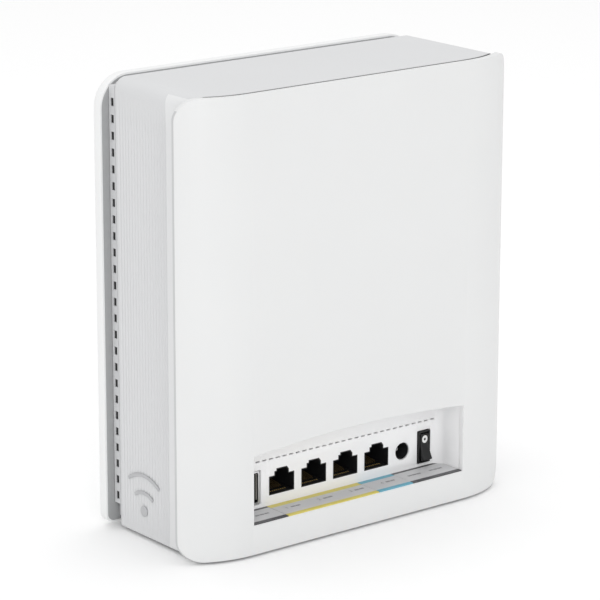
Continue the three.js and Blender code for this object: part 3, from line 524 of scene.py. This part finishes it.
def build_rear_cover():
    """The flat middle with its window, cut fine beyond it and bent into the two wings."""
    outer = rounded_outline(
        -HALF_REAR, HALF_REAR, Z_FOOT, Z_TOP - COVER_DROP, COVER_CORNER, COVER_CORNER, 16)
    hole = arched_outline(BAY_HALF, BAY_FLOOR, BAY_END_TOP, BAY_ARCH)
    bm = plate_with_holes(outer, [hole], 0.0, COVER)
    for side in (-1, 1):
        for i in range(WING_CUTS):
            x = side * (WING_START + (HALF_REAR - WING_START) * i / WING_CUTS)
            everything = bm.verts[:] + bm.edges[:] + bm.faces[:]
            bmesh.ops.bisect_plane(bm, geom=everything, plane_co=(x * MM, 0, 0), plane_no=(1, 0, 0))
    bm.normal_update()
    # painted shade: the cover's side and top edge faces are grey, standing in for the dark gap line beside the
    # sleeve; the faces underneath stay white, and the window's edge faces take the bay's lighter white
    for face in bm.faces:
        mid = face.calc_center_median() / MM
        in_window = abs(mid.x) < BAY_HALF + 0.5 and BAY_FLOOR - 0.5 < mid.z < BAY_END_TOP + BAY_ARCH + 0.5
        on_edge = abs(face.normal.y) < 0.5
        underneath = face.normal.z < -0.5
        if on_edge and in_window:
            face.material_index = 2
        elif on_edge and not underneath:
            face.material_index = 1
    for v in bm.verts:
        inset = cover_thickness(v.co.x / MM) if v.co.y > COVER * 0.5 * MM else 0.0
        v.co.y = cover_y(v.co.x / MM, inset) * MM
    mats = [M["shell_white"], M["cover_edge_painted_shade"], M["bay_white"]]
    return finish_mesh("rear_cover_skin", bm, mats, bevel=0.45, bevel_segments=3, bevel_angle=30)


rear_cover = build_rear_cover()
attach(rear_cover, "router")
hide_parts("rear_cover")


# ---------------------------------------------------------------- ribbed sleeve
def sleeve_rear(x, z):
    """Where the rear rim lies: close to the cover at the sides and foot, further off along the top."""
    near_top = min(1.0, max(0.0, (z - body_hi.z + TOP_GAP_START) / TOP_GAP_RUN))
    return cover_y(x, COVER + SIDE_GAP + (TOP_GAP - SIDE_GAP) * near_top)


def sleeve_outline(inset, top, foot):
    """Outline of the sleeve drawn in by inset, with its own top and foot corners."""
    return rounded_outline(-HALF_BODY + inset, HALF_BODY - inset, body_lo.z + inset, body_hi.z - inset,
                           top, foot, 10, side_steps=30)


def build_sleeve():
    """The tube round the body: ribs on both sides, a smooth rim at the rear, a rounded front edge."""
    z0 = body_lo.z
    z1 = body_hi.z
    outline = sleeve_outline(0.0, BODY_TOP_CORNER, BODY_FOOT_CORNER)

    def rib(y, z):
        """How deep the side is cut in at a point: grooves that fade out at the top and the foot."""
        if y > RIB_START or y < RIB_END:
            return 0.0
        fade = min(1.0, max(0.0, (z1 - 6.0 - z) / 9.0)) * min(1.0, max(0.0, (z - z0 - 1.2) / 2.0))
        wave = 0.5 - 0.5 * math.cos(2 * math.pi * (y - Y_SLEEVE_END) / RIB_PITCH)
        return RIB_DEPTH * fade * wave ** 2

    last = sleeve_rear(HALF_BODY, z1) + 0.5
    steps = int((RIB_START - last) / (RIB_PITCH / RIB_SAMPLES))
    ys = [RIB_START - i * RIB_PITCH / RIB_SAMPLES for i in range(steps + 1)]
    ys = [Y_SLEEVE_END, Y_SLEEVE_END - 0.1, Y_SLEEVE_END - 0.35, Y_SLEEVE_END - 0.8] + ys
    drawn_in = {0: 0.45, 1: 0.24, 2: 0.06}  # the front edge is rounded over its first three rings
    rings = []
    for k, y in enumerate(ys):
        pull = drawn_in.get(k, 0.0)
        ring = []
        for x, z in outline:
            sx = x
            sz = z
            if abs(abs(x) - HALF_BODY) < 1e-6:
                sx = math.copysign(HALF_BODY - rib(y, z), x)
            cx = max(-HALF_BODY + BODY_TOP_CORNER, min(HALF_BODY - BODY_TOP_CORNER, sx))
            cz = max(z0 + BODY_TOP_CORNER, min(z1 - BODY_TOP_CORNER, sz))
            d = math.hypot(sx - cx, sz - cz)
            if pull and d > 0:
                sx -= (sx - cx) / d * pull
                sz -= (sz - cz) / d * pull
            ring.append((sx, y, sz))
        rings.append(ring)
    rings.append([(x, sleeve_rear(x, z), z) for x, z in outline])
    inner = sleeve_outline(BODY_WALL, 2.8, 1.0)
    back = [(x, sleeve_rear(x, z), z) for x, z in inner]
    front = [(x, Y_SLEEVE_END, z) for x, z in inner]
    bm = bmesh.new()
    loft(bm, rings + [back, front], tube=True)
    bmesh.ops.dissolve_degenerate(bm, dist=1e-7, edges=bm.edges)
    bm.normal_update()
    # painted shade: the ribbed sides keep the darker sleeve white, and the smooth rim's sides get the lighter,
    # unshaded copy
    for face in bm.faces:
        if abs(face.normal.x) > 0.7 and face.calc_center_median().y < RIB_END * MM:
            face.material_index = 1
    return finish_mesh("body_sleeve_skin", bm, [M["sleeve_white"], M["rim_white_lit_copy"]], smooth_angle=50)


sleeve = build_sleeve()
through_floor = body_lo.z + BODY_WALL + 1
tools = []
for i in range(FLOOR_SLOTS):
    x = (i - (FLOOR_SLOTS - 1) / 2) * FLOOR_SLOT_PITCH
    tools.append(cutter(f"slot_{i}", x - 1.5, x + 1.5, -4, 12, -1, through_floor, 0.6))
tools.append(cutter(
    "pair", HALF_BODY - BODY_WALL - 1, HALF_BODY + 1, pair_mid.y - PAIR_HOLE_HALF[0],
    pair_mid.y + PAIR_HOLE_HALF[0], pair_mid.z - PAIR_HOLE_HALF[1], pair_mid.z + PAIR_HOLE_HALF[1], 0.8))
tools.append(round_cutter("pinhole", reset_mid.x, reset_mid.y, -1, through_floor, PINHOLE_RADIUS))
for foot in FEET:
    foot_lo, foot_hi = box_mm(foot)
    foot_mid = (foot_lo + foot_hi) / 2
    tools.append(round_cutter(
        "pocket_" + foot, foot_mid.x, foot_mid.y, -1, body_lo.z + POCKET_DEPTH, POCKET_RADIUS))
cut_away(sleeve, tools)
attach(sleeve, "router")
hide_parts("body_sleeve")


# ---------------------------------------------------------------- dark ring of painted shade in the gap behind the sleeve
def build_gap_shade():
    """A thin flat dark ring on the sleeve's rear rim, painted shade that deepens the gap to the cover."""
    outer = sleeve_outline(0.15, 4.85, 1.05)
    inner = sleeve_outline(1.6, 3.4, 0.5)
    rings = []
    for loop, lift in ((outer, 0.02), (outer, 0.24), (inner, 0.24), (inner, 0.02)):
        rings.append([(x, sleeve_rear(x, z) - lift, z) for x, z in loop])
    bm = bmesh.new()
    loft(bm, rings, tube=True)
    return finish_mesh("rear_gap_painted_shade", bm, M["gap_painted_shade"])


gap_shade = build_gap_shade()
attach(gap_shade, "router")


# ---------------------------------------------------------------- front cover
def front_outline(inset):
    """Outline of the front cover drawn in by inset."""
    return rounded_outline(
        -HALF_FRONT + inset, HALF_FRONT - inset, front_lo.z + inset, front_hi.z - inset,
        max(0.6, FRONT_TOP_CORNER - inset), max(0.4, FRONT_FOOT_CORNER - inset), 16)


def build_painted_shade_ring():
    """Flat grey ring of painted shade that closes the back of the front cover round the neck, where the sleeve
    shades it.
    """
    bm = plate_with_holes(front_outline(SHADE_RING_RIM + 0.04), [front_outline(SHADE_RING_REACH - 0.1)],
                          Y_COVER_BACK, Y_COVER_BACK + SHADE_RING - 0.02)
    return finish_mesh("front_cover_painted_shade_ring", bm, M["front_back_painted_shade"], bevel=0.12)


shade_ring = build_painted_shade_ring()
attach(shade_ring, "router")


def build_front_cover():
    """The front cover, its face edge rounded and its back stepped to take the grey ring of painted shade."""
    edge = FRONT_EDGE

    def ring(inset, y):
        return [(x, y, z) for x, z in front_outline(inset)]

    back = Y_COVER_BACK
    rings = [ring(SHADE_RING_REACH, Y_FRONT - FRONT_THICKNESS), ring(SHADE_RING_REACH, back + SHADE_RING),
             ring(SHADE_RING_RIM, back + SHADE_RING), ring(SHADE_RING_RIM, back),
             ring(0.35, back), ring(0.1, back + 0.1), ring(0.0, back + 0.35)]
    for i in range(9):
        a = math.radians(90 * i / 8)
        rings.append(ring(edge * (1 - math.cos(a)), Y_FRONT - edge + edge * math.sin(a)))
    bm = bmesh.new()
    loft(bm, rings)
    # painted light: the front cover takes the lighter copy of the white
    return finish_mesh("front_cover_skin", bm, M["front_white"], smooth_angle=35)


front_cover = build_front_cover()
cut_away(front_cover, [cutter("lens_slot", lens_lo.x - GAP, lens_hi.x + GAP, Y_FRONT - 4, Y_FRONT + 1,
                              lens_lo.z - GAP, lens_hi.z + GAP, 1.2)])
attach(front_cover, "router")
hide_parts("front_cover")

# ---------------------------------------------------------------- dark painted shade that fills the side vents
for side in (-1, 1):
    bm = bmesh.new()
    near = side * (neck_hi.x - 2.9)
    far = side * (neck_hi.x - 2.7)
    box_bm(bm, min(near, far), max(near, far), Y_SLEEVE_END + 0.3, Y_COVER_BACK - 0.3,
           neck_lo.z + 4, neck_hi.z - 4)
    tip = side * (neck_hi.x - VENT_RECESS)
    for i in range(VENT_COUNT):
        z = VENT_FIRST + i * VENT_PITCH
        box_bm(bm, min(near, tip), max(near, tip), VENT_Y - VENT_TOOTH[0], VENT_Y + VENT_TOOTH[0],
               z - VENT_TOOTH[1], z + VENT_TOOTH[1])
    hand = "left" if side < 0 else "right"
    vent_shade = finish_mesh("vent_painted_shade_" + hand, bm, M["vent_painted_shade"], bevel=0.04)
    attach(vent_shade, "router")


# ---------------------------------------------------------------- port bay
def arch_z(x):
    """Height of the ceiling's arch at x."""
    radius = (BAY_HALF ** 2 + BAY_ARCH ** 2) / (2 * BAY_ARCH)
    return BAY_END_TOP + BAY_ARCH - radius + math.sqrt(radius * radius - x * x)


def bay_outline(half, steps=24):
    """Outline of the bay's room cut at a given half width: flat floor, ceiling on the one arch."""
    top = [(half - 2 * half * i / steps, arch_z(half - 2 * half * i / steps)) for i in range(steps + 1)]
    return [(-half, BAY_FLOOR), (half, BAY_FLOOR)] + top


def jack_mouth(x, grow):
    """Outline of a modular jack's stepped mouth about x, grown all round."""
    half = JACK_HALF + grow
    z0 = JACK_BASE - grow
    z1 = JACK_BASE + JACK_HEIGHT + grow
    return [
        (x - half, z0), (x + half, z0), (x + half, z1), (x + 3.3 + grow, z1), (x + 3.3 + grow, z1 + 1.4),
        (x + 2.3 + grow, z1 + 2.7), (x - 2.3 - grow, z1 + 2.7), (x - 2.3 - grow, z1 + 1.7),
        (x - 3.3 - grow, z1 + 1.7), (x - 3.3 - grow, z1), (x - half, z1),
    ]


def grown_rect(lo, hi, grow, r=0.0):
    """The rectangle that a box shows along Y, grown all round."""
    return rect_loop(lo.x - grow, hi.x + grow, lo.z - grow, hi.z + grow, r)


def build_bay():
    """The tub with its arched ceiling, the port plate's openings and its two screw lugs."""
    mouth = Y_REAR + COVER + 0.05
    back = Y_PLATE_BACK
    lugs = bay_hi.y
    outer = [(-BAY_HALF - BAY_WALL, BAY_FLOOR - BAY_WALL), (BAY_HALF + BAY_WALL, BAY_FLOOR - BAY_WALL)]
    for i in range(29):
        x = (BAY_HALF + BAY_WALL) * (1 - 2 * i / 28)
        xc = max(-BAY_HALF, min(BAY_HALF, x))
        outer.append((x, arch_z(xc) + BAY_WALL))
    bm = plate_with_holes(outer, [], mouth, back)
    # painted light: the tub takes the lighter bay white
    tub = finish_mesh("port_bay_skin", bm, M["bay_white"])

    rings = [[(x, Y_REAR - 4, z) for x, z in bay_outline(BAY_HALF)]]
    for i in range(9):
        a = math.radians(90 * i / 8)
        half = BAY_HALF - BAY_FILLET + BAY_FILLET * math.cos(a)
        y = Y_PLATE - BAY_FILLET + BAY_FILLET * math.sin(a)
        rings.append([(x, y, z) for x, z in bay_outline(half)])
    bm = bmesh.new()
    loft(bm, rings)
    room = finish_mesh("room", bm, M["bay_white"])

    bm = bmesh.new()
    openings = [jack_mouth(x, COLLAR) for x in JACK_XS]
    openings.append(grown_rect(usb_lo, usb_hi, GAP, 0.5))
    openings.append(round_loop(dc_mid.x, dc_mid.z, DC_COLLAR + GAP))
    openings.append(grown_rect(switch_lo, switch_hi, GAP, 0.3))
    for i in range(BAY_SLOTS):
        x = (i - (BAY_SLOTS - 1) / 2) * BAY_SLOT_PITCH
        openings.append(rect_loop(
            x - BAY_SLOT_HALF, x + BAY_SLOT_HALF, BAY_SLOT_FOOT, BAY_SLOT_TOP, 0.25, 4))
    for loop in openings:
        prism_into(bm, loop, Y_PLATE - 1, back + 1)
    holes = finish_mesh("holes", bm, M["bay_white"])
    cut_away(tub, [room, holes])
    bevel_edges(tub, 0.16, 2, 50)
    shade(tub.data, 40)

    for side in (-1, 1):
        bm = bmesh.new()
        x = side * (BAY_HALF - 4)
        box_bm(bm, x - 3, x + 3, back + 0.02, lugs, BAY_END_TOP - 7, BAY_END_TOP)
        hand = "left" if side < 0 else "right"
        lug = finish_mesh("bay_lug_" + hand, bm, M["bay_white"], bevel=0.5, bevel_segments=3)
        bore = bmesh.new()
        prism_into(bore, round_loop(x, BAY_END_TOP - 3.5, 1.3, 24), lugs - 6, lugs + 1)
        cut_away(lug, [finish_mesh("bore", bore, M["bay_white"])])
        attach(lug, "router")
    return tub


bay = build_bay()
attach(bay, "router")
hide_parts("port_bay")


# ---------------------------------------------------------------- modular jacks
# a contact wire: how far it reaches from its back end, and its height above the mouth's floor
WIRE_PATH = ((0, 1.5), (1.6, 1.62), (4.4, 1.3), (7.2, 0.85), (8.4, 0.58), (8.8, 0.3), (8.6, 0.05))


def wire_into(bm, path, width, thick, x):
    """A flat strip of metal along a path of (y, z) points at x."""
    rings = []
    for i, (y, z) in enumerate(path):
        y0, z0 = path[max(0, i - 1)]
        y1, z1 = path[min(len(path) - 1, i + 1)]
        d = Vector((0, y1 - y0, z1 - z0)).normalized()
        up = Vector((0, -d.z, d.y)) * thick / 2
        mid = Vector((x, y, z))
        side = Vector((width / 2, 0, 0))
        rings.append([mid - side - up, mid + side - up, mid + side + up, mid - side + up])
    loft(bm, rings)


for index, jx in enumerate(JACK_XS):
    node = f"jack_{index + 1}"
    jack_lo, jack_hi = box_mm(node)
    bm = bmesh.new()
    box_bm(bm, jack_lo.x, jack_hi.x, jack_lo.y, jack_hi.y, jack_lo.z, jack_hi.z)
    housing = finish_mesh(node + "_housing", bm, M["port_black"], bevel=0.35)
    bm = bmesh.new()
    prism_into(bm, jack_mouth(jx, -0.1), jack_lo.y - 1, jack_hi.y - 2.4)
    guide = bmesh.new()
    contact_xs = [jx + (k - (CONTACT_COUNT - 1) / 2) * CONTACT_PITCH for k in range(CONTACT_COUNT)]
    for cx in contact_xs:
        groove = rect_loop(cx - 0.28, cx + 0.28, JACK_BASE - 0.5, JACK_BASE + 0.4)
        prism_into(guide, groove, jack_lo.y + 2.2, jack_hi.y - 2.6)
    mouth = finish_mesh("mouth", bm, M["port_black"])
    cut_away(housing, [mouth, finish_mesh("guides", guide, M["port_black"])])
    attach(housing, "router")
    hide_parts(node)

    bm = bmesh.new()
    tips = bmesh.new()
    y_back = jack_hi.y - 2.75
    path = [(y_back - run, JACK_BASE + lift) for run, lift in WIRE_PATH]
    for cx in contact_xs:
        wire_into(bm, path, 0.3, 0.22, cx)
        box_bm(tips, cx - 0.2, cx + 0.2, jack_lo.y + 0.5, jack_lo.y + 1.1,
               JACK_BASE + 0.12, JACK_BASE + 0.3)
    wires = finish_mesh(node + "_wires", bm, M["spring_gold"], smooth_angle=60)
    ends = finish_mesh(node + "_contact_ends", tips, M["contact_gold"])
    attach(ends, "router")
    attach(wires, "router")
    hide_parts(node + "_contacts")

    bm = plate_with_holes(jack_mouth(jx, COLLAR - 0.02), [jack_mouth(jx, -0.1)],
                          Y_PLATE + 0.04, jack_lo.y - 0.02)
    collar = finish_mesh(node + "_collar", bm, M["port_black"])
    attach(collar, "router")

# ---------------------------------------------------------------- USB socket
usb_y0, usb_y1 = usb_lo.y, usb_hi.y
bm = bmesh.new()
prism_into(bm, grown_rect(usb_lo, usb_hi, 0, 1.1), usb_y0, usb_y1)
usb_shell = finish_mesh("usb_shell_metal", bm, M["socket_steel"], bevel=0.12, bevel_angle=60)
bm = bmesh.new()
prism_into(bm, grown_rect(usb_lo, usb_hi, -0.7, 0.6), usb_y0 - 1, usb_y1 - 1.5)
leaf = bmesh.new()
for side in (-1, 1):
    x = usb_mid.x + side * (usb_hi.x - usb_lo.x) / 2
    for z in (usb_mid.z - 3.1, usb_mid.z + 3.1):
        for z0, z1 in ((z - 1.1, z - 0.7), (z + 0.7, z + 1.1)):
            box_bm(leaf, x - 0.8, x + 0.8, usb_y0 + 3.4, usb_y0 + 9.0, z0, z1)
usb_room = finish_mesh("usb_room", bm, M["socket_steel"])
cut_away(usb_shell, [usb_room, finish_mesh("usb_leaf", leaf, M["socket_steel"])])
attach(usb_shell, "router")
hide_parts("usb_shell")

bm = plate_with_holes(grown_rect(usb_lo, usb_hi, -0.72, 0.58), [grown_rect(usb_lo, usb_hi, -0.82, 0.48)],
                      usb_y0 + 0.4, usb_y1 - 1.6)
liner = finish_mesh("usb_liner", bm, M["port_black"])
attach(liner, "router")
bm = bmesh.new()
box_bm(bm, usb_hi.x - 1.0, usb_hi.x - 0.84, usb_y0 + 1.0, usb_y0 + 1.3, usb_lo.z + 1.5, usb_hi.z - 1.5)
leaf = finish_mesh("usb_leaf_spring", bm, M["tongue_white"], bevel=0.03)
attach(leaf, "router")

bm = bmesh.new()
prism_into(bm, grown_rect(tongue_lo, tongue_hi, 0, 0.25), tongue_lo.y, tongue_hi.y)
tongue = finish_mesh("usb_tongue_body", bm, M["tongue_white"], bevel=0.2, bevel_segments=3, bevel_angle=60)
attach(tongue, "router")
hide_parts("usb_tongue")
bm = bmesh.new()
for z in (-3.5, -1.0, 1.0, 3.5):
    reach = 1.0 if abs(z) > 2 else 2.2
    box_bm(bm, tongue_hi.x - 0.02, tongue_hi.x + 0.12, tongue_lo.y + reach, tongue_hi.y - 0.3,
           usb_mid.z + z - 0.5, usb_mid.z + z + 0.5)
strips = finish_mesh("usb_contacts", bm, M["contact_gold"], bevel=0.05)
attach(strips, "router")


# ---------------------------------------------------------------- DC inlet
def turned(name, profile, x, z, mat, n=48):
    """A body turned about a line along Y through (x, z); profile is a closed list of (radius, y)."""
    bm = bmesh.new()
    rings = []
    for i in range(n):
        a = 2 * math.pi * i / n
        rings.append([bm.verts.new(((x + r * math.cos(a)) * MM, y * MM, (z + r * math.sin(a)) * MM))
                      for r, y in profile])
    for i in range(n):
        a, b = rings[i], rings[(i + 1) % n]
        for k in range(len(profile)):
            m = (k + 1) % len(profile)
            bm.faces.new((a[k], a[m], b[m], b[k]))
    bmesh.ops.remove_doubles(bm, verts=bm.verts, dist=1e-7)
    bmesh.ops.dissolve_degenerate(bm, dist=1e-8, edges=bm.edges)
    return finish_mesh(name, bm, mat)


dc_y = dc_lo.y
shoulder = Y_PLATE_BACK + 1.0
barrel = turned("dc_barrel", [
    (DC_BORE, dc_hi.y - 3.0), (DC_BORE, dc_y + 0.5), (3.08, dc_y + 0.25), (3.12, dc_y), (3.22, dc_y),
    (DC_COLLAR, dc_y + 0.12), (DC_COLLAR, shoulder), (4.2, shoulder), (4.2, dc_hi.y - 2.0),
    (3.6, dc_hi.y - 2.0), (3.6, dc_hi.y - 3.0)], dc_mid.x, dc_mid.z, M["port_black"])
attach(barrel, "router")
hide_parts("dc_inlet")
bm = bmesh.new()
box_bm(bm, dc_lo.x, dc_hi.x, Y_PLATE_BACK + 0.3, dc_hi.y, dc_lo.z, dc_hi.z)
dc_block = finish_mesh("dc_block", bm, M["port_black"], bevel=0.4)
bm = bmesh.new()
prism_into(bm, round_loop(dc_mid.x, dc_mid.z, 4.25), Y_PLATE, dc_hi.y - 1.9)
cut_away(dc_block, [finish_mesh("dc_room", bm, M["port_black"])])
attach(dc_block, "router")
pin = turned("dc_pin_metal", [
    (0.0, pin_hi.y), (0.0, pin_lo.y), (0.35, pin_lo.y), (0.7, pin_lo.y + 0.12), (0.95, pin_lo.y + 0.45),
    (1.05, pin_lo.y + 0.9), (1.05, pin_hi.y)], dc_mid.x, dc_mid.z, M["pin_steel"], n=32)
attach(pin, "router")
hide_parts("dc_pin")

# ---------------------------------------------------------------- rocker switch
bm = bmesh.new()
prism_into(bm, grown_rect(switch_lo, switch_hi, 0, 0.25), switch_lo.y, switch_hi.y)
switch_box = finish_mesh("switch_box_shell", bm, M["switch_black"], bevel=0.12, bevel_angle=60)
bm = bmesh.new()
prism_into(bm, grown_rect(switch_lo, switch_hi, -0.6, 0.15), switch_lo.y - 1, Y_PLATE + 7.4)
cut_away(switch_box, [finish_mesh("switch_room", bm, M["switch_black"])])
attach(switch_box, "router")
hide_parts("switch_box")

pivot = next(j for j in frame["joints"] if j["name"] == "power_switch")["pos_m"]
pivot_y, pivot_z = pivot[1] / MM, pivot[2] / MM


def dished(start, end, bow, count=8):
    """Points from start to end, bowed by (y, z) in the middle."""
    points = []
    for i in range(count + 1):
        t = i / count
        dip = math.sin(math.pi * t)
        points.append((start[0] + (end[0] - start[0]) * t + bow[0] * dip,
                       start[1] + (end[1] - start[1]) * t + bow[1] * dip))
    return points


def rocker_profile():
    """The rocker from the side, with its two faces dished and its ends rounded."""
    upper = dished(ROCKER_TOP, ROCKER_FOLD, (UPPER_BOW, 0))
    lower = dished(ROCKER_FOLD, ROCKER_FOOT, (LOWER_BOW, -0.4 * LOWER_BOW))
    return upper + lower[1:] + [
        (-3.28, -4.85), (-3.05, -5.0), (-1.5, -5.38), (1.3, -3.6), (2.5, -1.4), (2.5, 1.6), (0.6, 5.1),
        (-0.9, 5.6), (-1.1, 5.57)]


bm = bmesh.new()
loop = [(pivot_y + y, pivot_z + z) for y, z in rocker_profile()]
rings = [[(x, y, z) for y, z in loop] for x in (rocker_lo.x, rocker_hi.x)]
loft(bm, rings)
rocker = finish_mesh("rocker_paddle", bm, M["switch_black"], bevel=0.16, bevel_segments=3, bevel_angle=40)
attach(rocker, "rocker")
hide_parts("power_rocker")


def face_point(along, x, lift):
    """A point above the rocker's upper face, along mm from the fold."""
    dip = UPPER_BOW * math.sin(math.pi * (1 - along / (ROCKER_TOP[1] - ROCKER_FOLD[1])))
    return (x, pivot_y - 1.19 + dip - lift, pivot_z + ROCKER_FOLD[1] + along)


def mark_ring():
    """The printed ring on the rocker's upper half, a little taller than wide."""
    rings = []
    count = 40
    for r, lift in ((0.5, 0.0), (0.5, 0.06), (1.4, 0.06), (1.4, 0.0)):
        turns = [2 * math.pi * i / count for i in range(count)]
        rings.append([face_point(3.0 + r * 1.15 * math.sin(a), rocker_mid.x + r * math.cos(a), lift)
                      for a in turns])
    bm = bmesh.new()
    loft(bm, rings, tube=True)
    return finish_mesh("rocker_mark_off", bm, M["mark_white"])


mark = mark_ring()
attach(mark, "rocker")


# ---------------------------------------------------------------- small parts, inside and out
def soft_copy(node, mat, width, segments=3, body="router", angle=40):
    """The node's own solid with its edges rounded, in its place."""
    bm = bmesh.new()
    bm.from_mesh(nodes[node].data)
    bmesh.ops.remove_doubles(bm, verts=bm.verts, dist=1e-6)
    bmesh.ops.dissolve_limit(bm, angle_limit=math.radians(1), verts=bm.verts, edges=bm.edges)
    name = node + "_soft.001"
    clone = finish_mesh(name, bm, M[mat], smooth_angle=angle, bevel=width, bevel_segments=segments)
    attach(clone, body)
    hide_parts(node)


for foot in FEET:
    soft_copy(foot, "rubber", 0.3)
soft_copy("pairing_button", "button_white", 0.5, body="pairing")
soft_copy("led_lens", "lens", 0.3)
for part in ("badge_arc_outer", "badge_arc_inner", "badge_dot"):
    soft_copy(part, "badge_grey", 0.12, 2, angle=30)
for part in ("processor_can", "radio_can_left", "radio_can_right"):
    soft_copy(part, "can_tin", 0.5)
for part in ("line_transformer_a", "line_transformer_b"):
    soft_copy(part, "dark_part", 0.5)
soft_copy("thermal_pad", "pad", 0.2)
soft_copy("heat_spreader", "aluminium", 0.25, 2)


# ---------------------------------------------------------------- prints on the legend strips
def printed(name, x, text):
    """Short bars, beside a figure where there is one, printed flat on the strip in front of a port."""
    y = Y_REAR + 7.6
    z = legend_top + 0.02
    bm = bmesh.new()
    length, count, shift = (4.6, 2, 1.1) if text else (6.4, 3, 0)
    start = x - length / 2 + shift
    w = (length - 0.4) / count
    for k in range(count):
        x0 = start + k * (w + 0.3)
        box_bm(bm, x0, x0 + w, y - PRINT_DEPTH, y + PRINT_DEPTH, z, z + PRINT_HEIGHT)
    bars = finish_mesh(name + "_bar", bm, M["print_grey"], bevel=0.01)
    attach(bars, "router")
    if not text:
        return
    curve = bpy.data.curves.new(name, "FONT")
    curve.body = text
    curve.size = 2.6 * MM
    curve.extrude = 0.00001
    curve.align_x = "CENTER"
    curve.align_y = "CENTER"
    letter = bpy.data.objects.new(name, curve)
    bpy.context.scene.collection.objects.link(letter)
    letter.location = ((x - 3.2) * MM, y * MM, (z + 0.02) * MM)
    bpy.context.view_layer.update()
    made = bpy.data.meshes.new_from_object(letter.evaluated_get(bpy.context.evaluated_depsgraph_get()))
    figure = bpy.data.objects.new(name + "_figure", made)
    figure.matrix_world = letter.matrix_world.copy()
    bpy.context.scene.collection.objects.link(figure)
    bpy.data.objects.remove(letter, do_unlink=True)
    made.materials.clear()
    made.materials.append(M["print_grey"])
    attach(figure, "router")


for index, jx in enumerate(JACK_XS):
    printed(f"print_jack_{index + 1}", jx, str(index + 1))
printed("print_usb", usb_mid.x - 2, "")
printed("print_dc", dc_mid.x, "")
printed("print_switch", switch_mid.x, "")

# ---------------------------------------------------------------- carried-over CAD nodes
for entry in frame["record"]["subparts"]:
    node = nodes[entry["node"]]
    node.data.materials.clear()
    node.data.materials.append(M[entry["material_slot"]])

# ---------------------------------------------------------------- camera
CAM_TURN = math.radians(38.57)
CAM_TILT = math.radians(15.34)
CAM_ROLL = math.radians(-0.10)
SENSOR = 36.0
FOCAL_SHARE = 2981.8 / 600
cam_data = bpy.data.cameras.new("camera")
cam_data.sensor_width = SENSOR
cam_data.lens = FOCAL_SHARE * SENSOR
cam_data.clip_start = 0.05
cam_data.clip_end = 50.0
cam = bpy.data.objects.new("camera", cam_data)
bpy.context.scene.collection.objects.link(cam)
cam.location = (-0.7079, -0.8828, 0.3959)
ahead = Vector((math.sin(CAM_TURN) * math.cos(CAM_TILT), math.cos(CAM_TURN) * math.cos(CAM_TILT),
                -math.sin(CAM_TILT)))
cam.rotation_mode = "QUATERNION"
aim = ahead.to_track_quat("-Z", "Y").to_matrix().to_4x4()
cam.rotation_quaternion = (aim @ Matrix.Rotation(-CAM_ROLL, 4, "Z")).to_quaternion()
bpy.context.scene.camera = cam

# ---------------------------------------------------------------- floor and light
bm = bmesh.new()
bmesh.ops.create_grid(bm, x_segments=2, y_segments=2, size=6.0)
floor = finish_mesh("floor", bm, material("floor_white", (0.97, 0.97, 0.97), 0.9, bump=0.02, scale=40))
floor.location = (0, 0, -0.0002)

bpy.context.scene.view_settings.view_transform = "Standard"
world = bpy.data.worlds.new("studio")
bpy.context.scene.world = world
world.use_nodes = True
sky = world.node_tree.nodes["Background"]
sky.inputs["Color"].default_value = (1, 1, 1, 1)
sky.inputs["Strength"].default_value = 0.87
OBJECT_MIDDLE = Vector((0, 0, 0.09))


def area(name, location, size, power):
    """A square area light that faces the router."""
    data = bpy.data.lights.new(name, "AREA")
    data.size = size
    data.energy = power
    lamp = bpy.data.objects.new(name, data)
    bpy.context.scene.collection.objects.link(lamp)
    lamp.location = location
    lamp.rotation_mode = "QUATERNION"
    lamp.rotation_quaternion = (OBJECT_MIDDLE - Vector(location)).to_track_quat("-Z", "Y")


area("key", (-1.1, -1.9, 1.0), 1.2, 12)
area("top", (0.1, 0.3, 2.0), 1.6, 7.5)

bpy.context.view_layer.update()
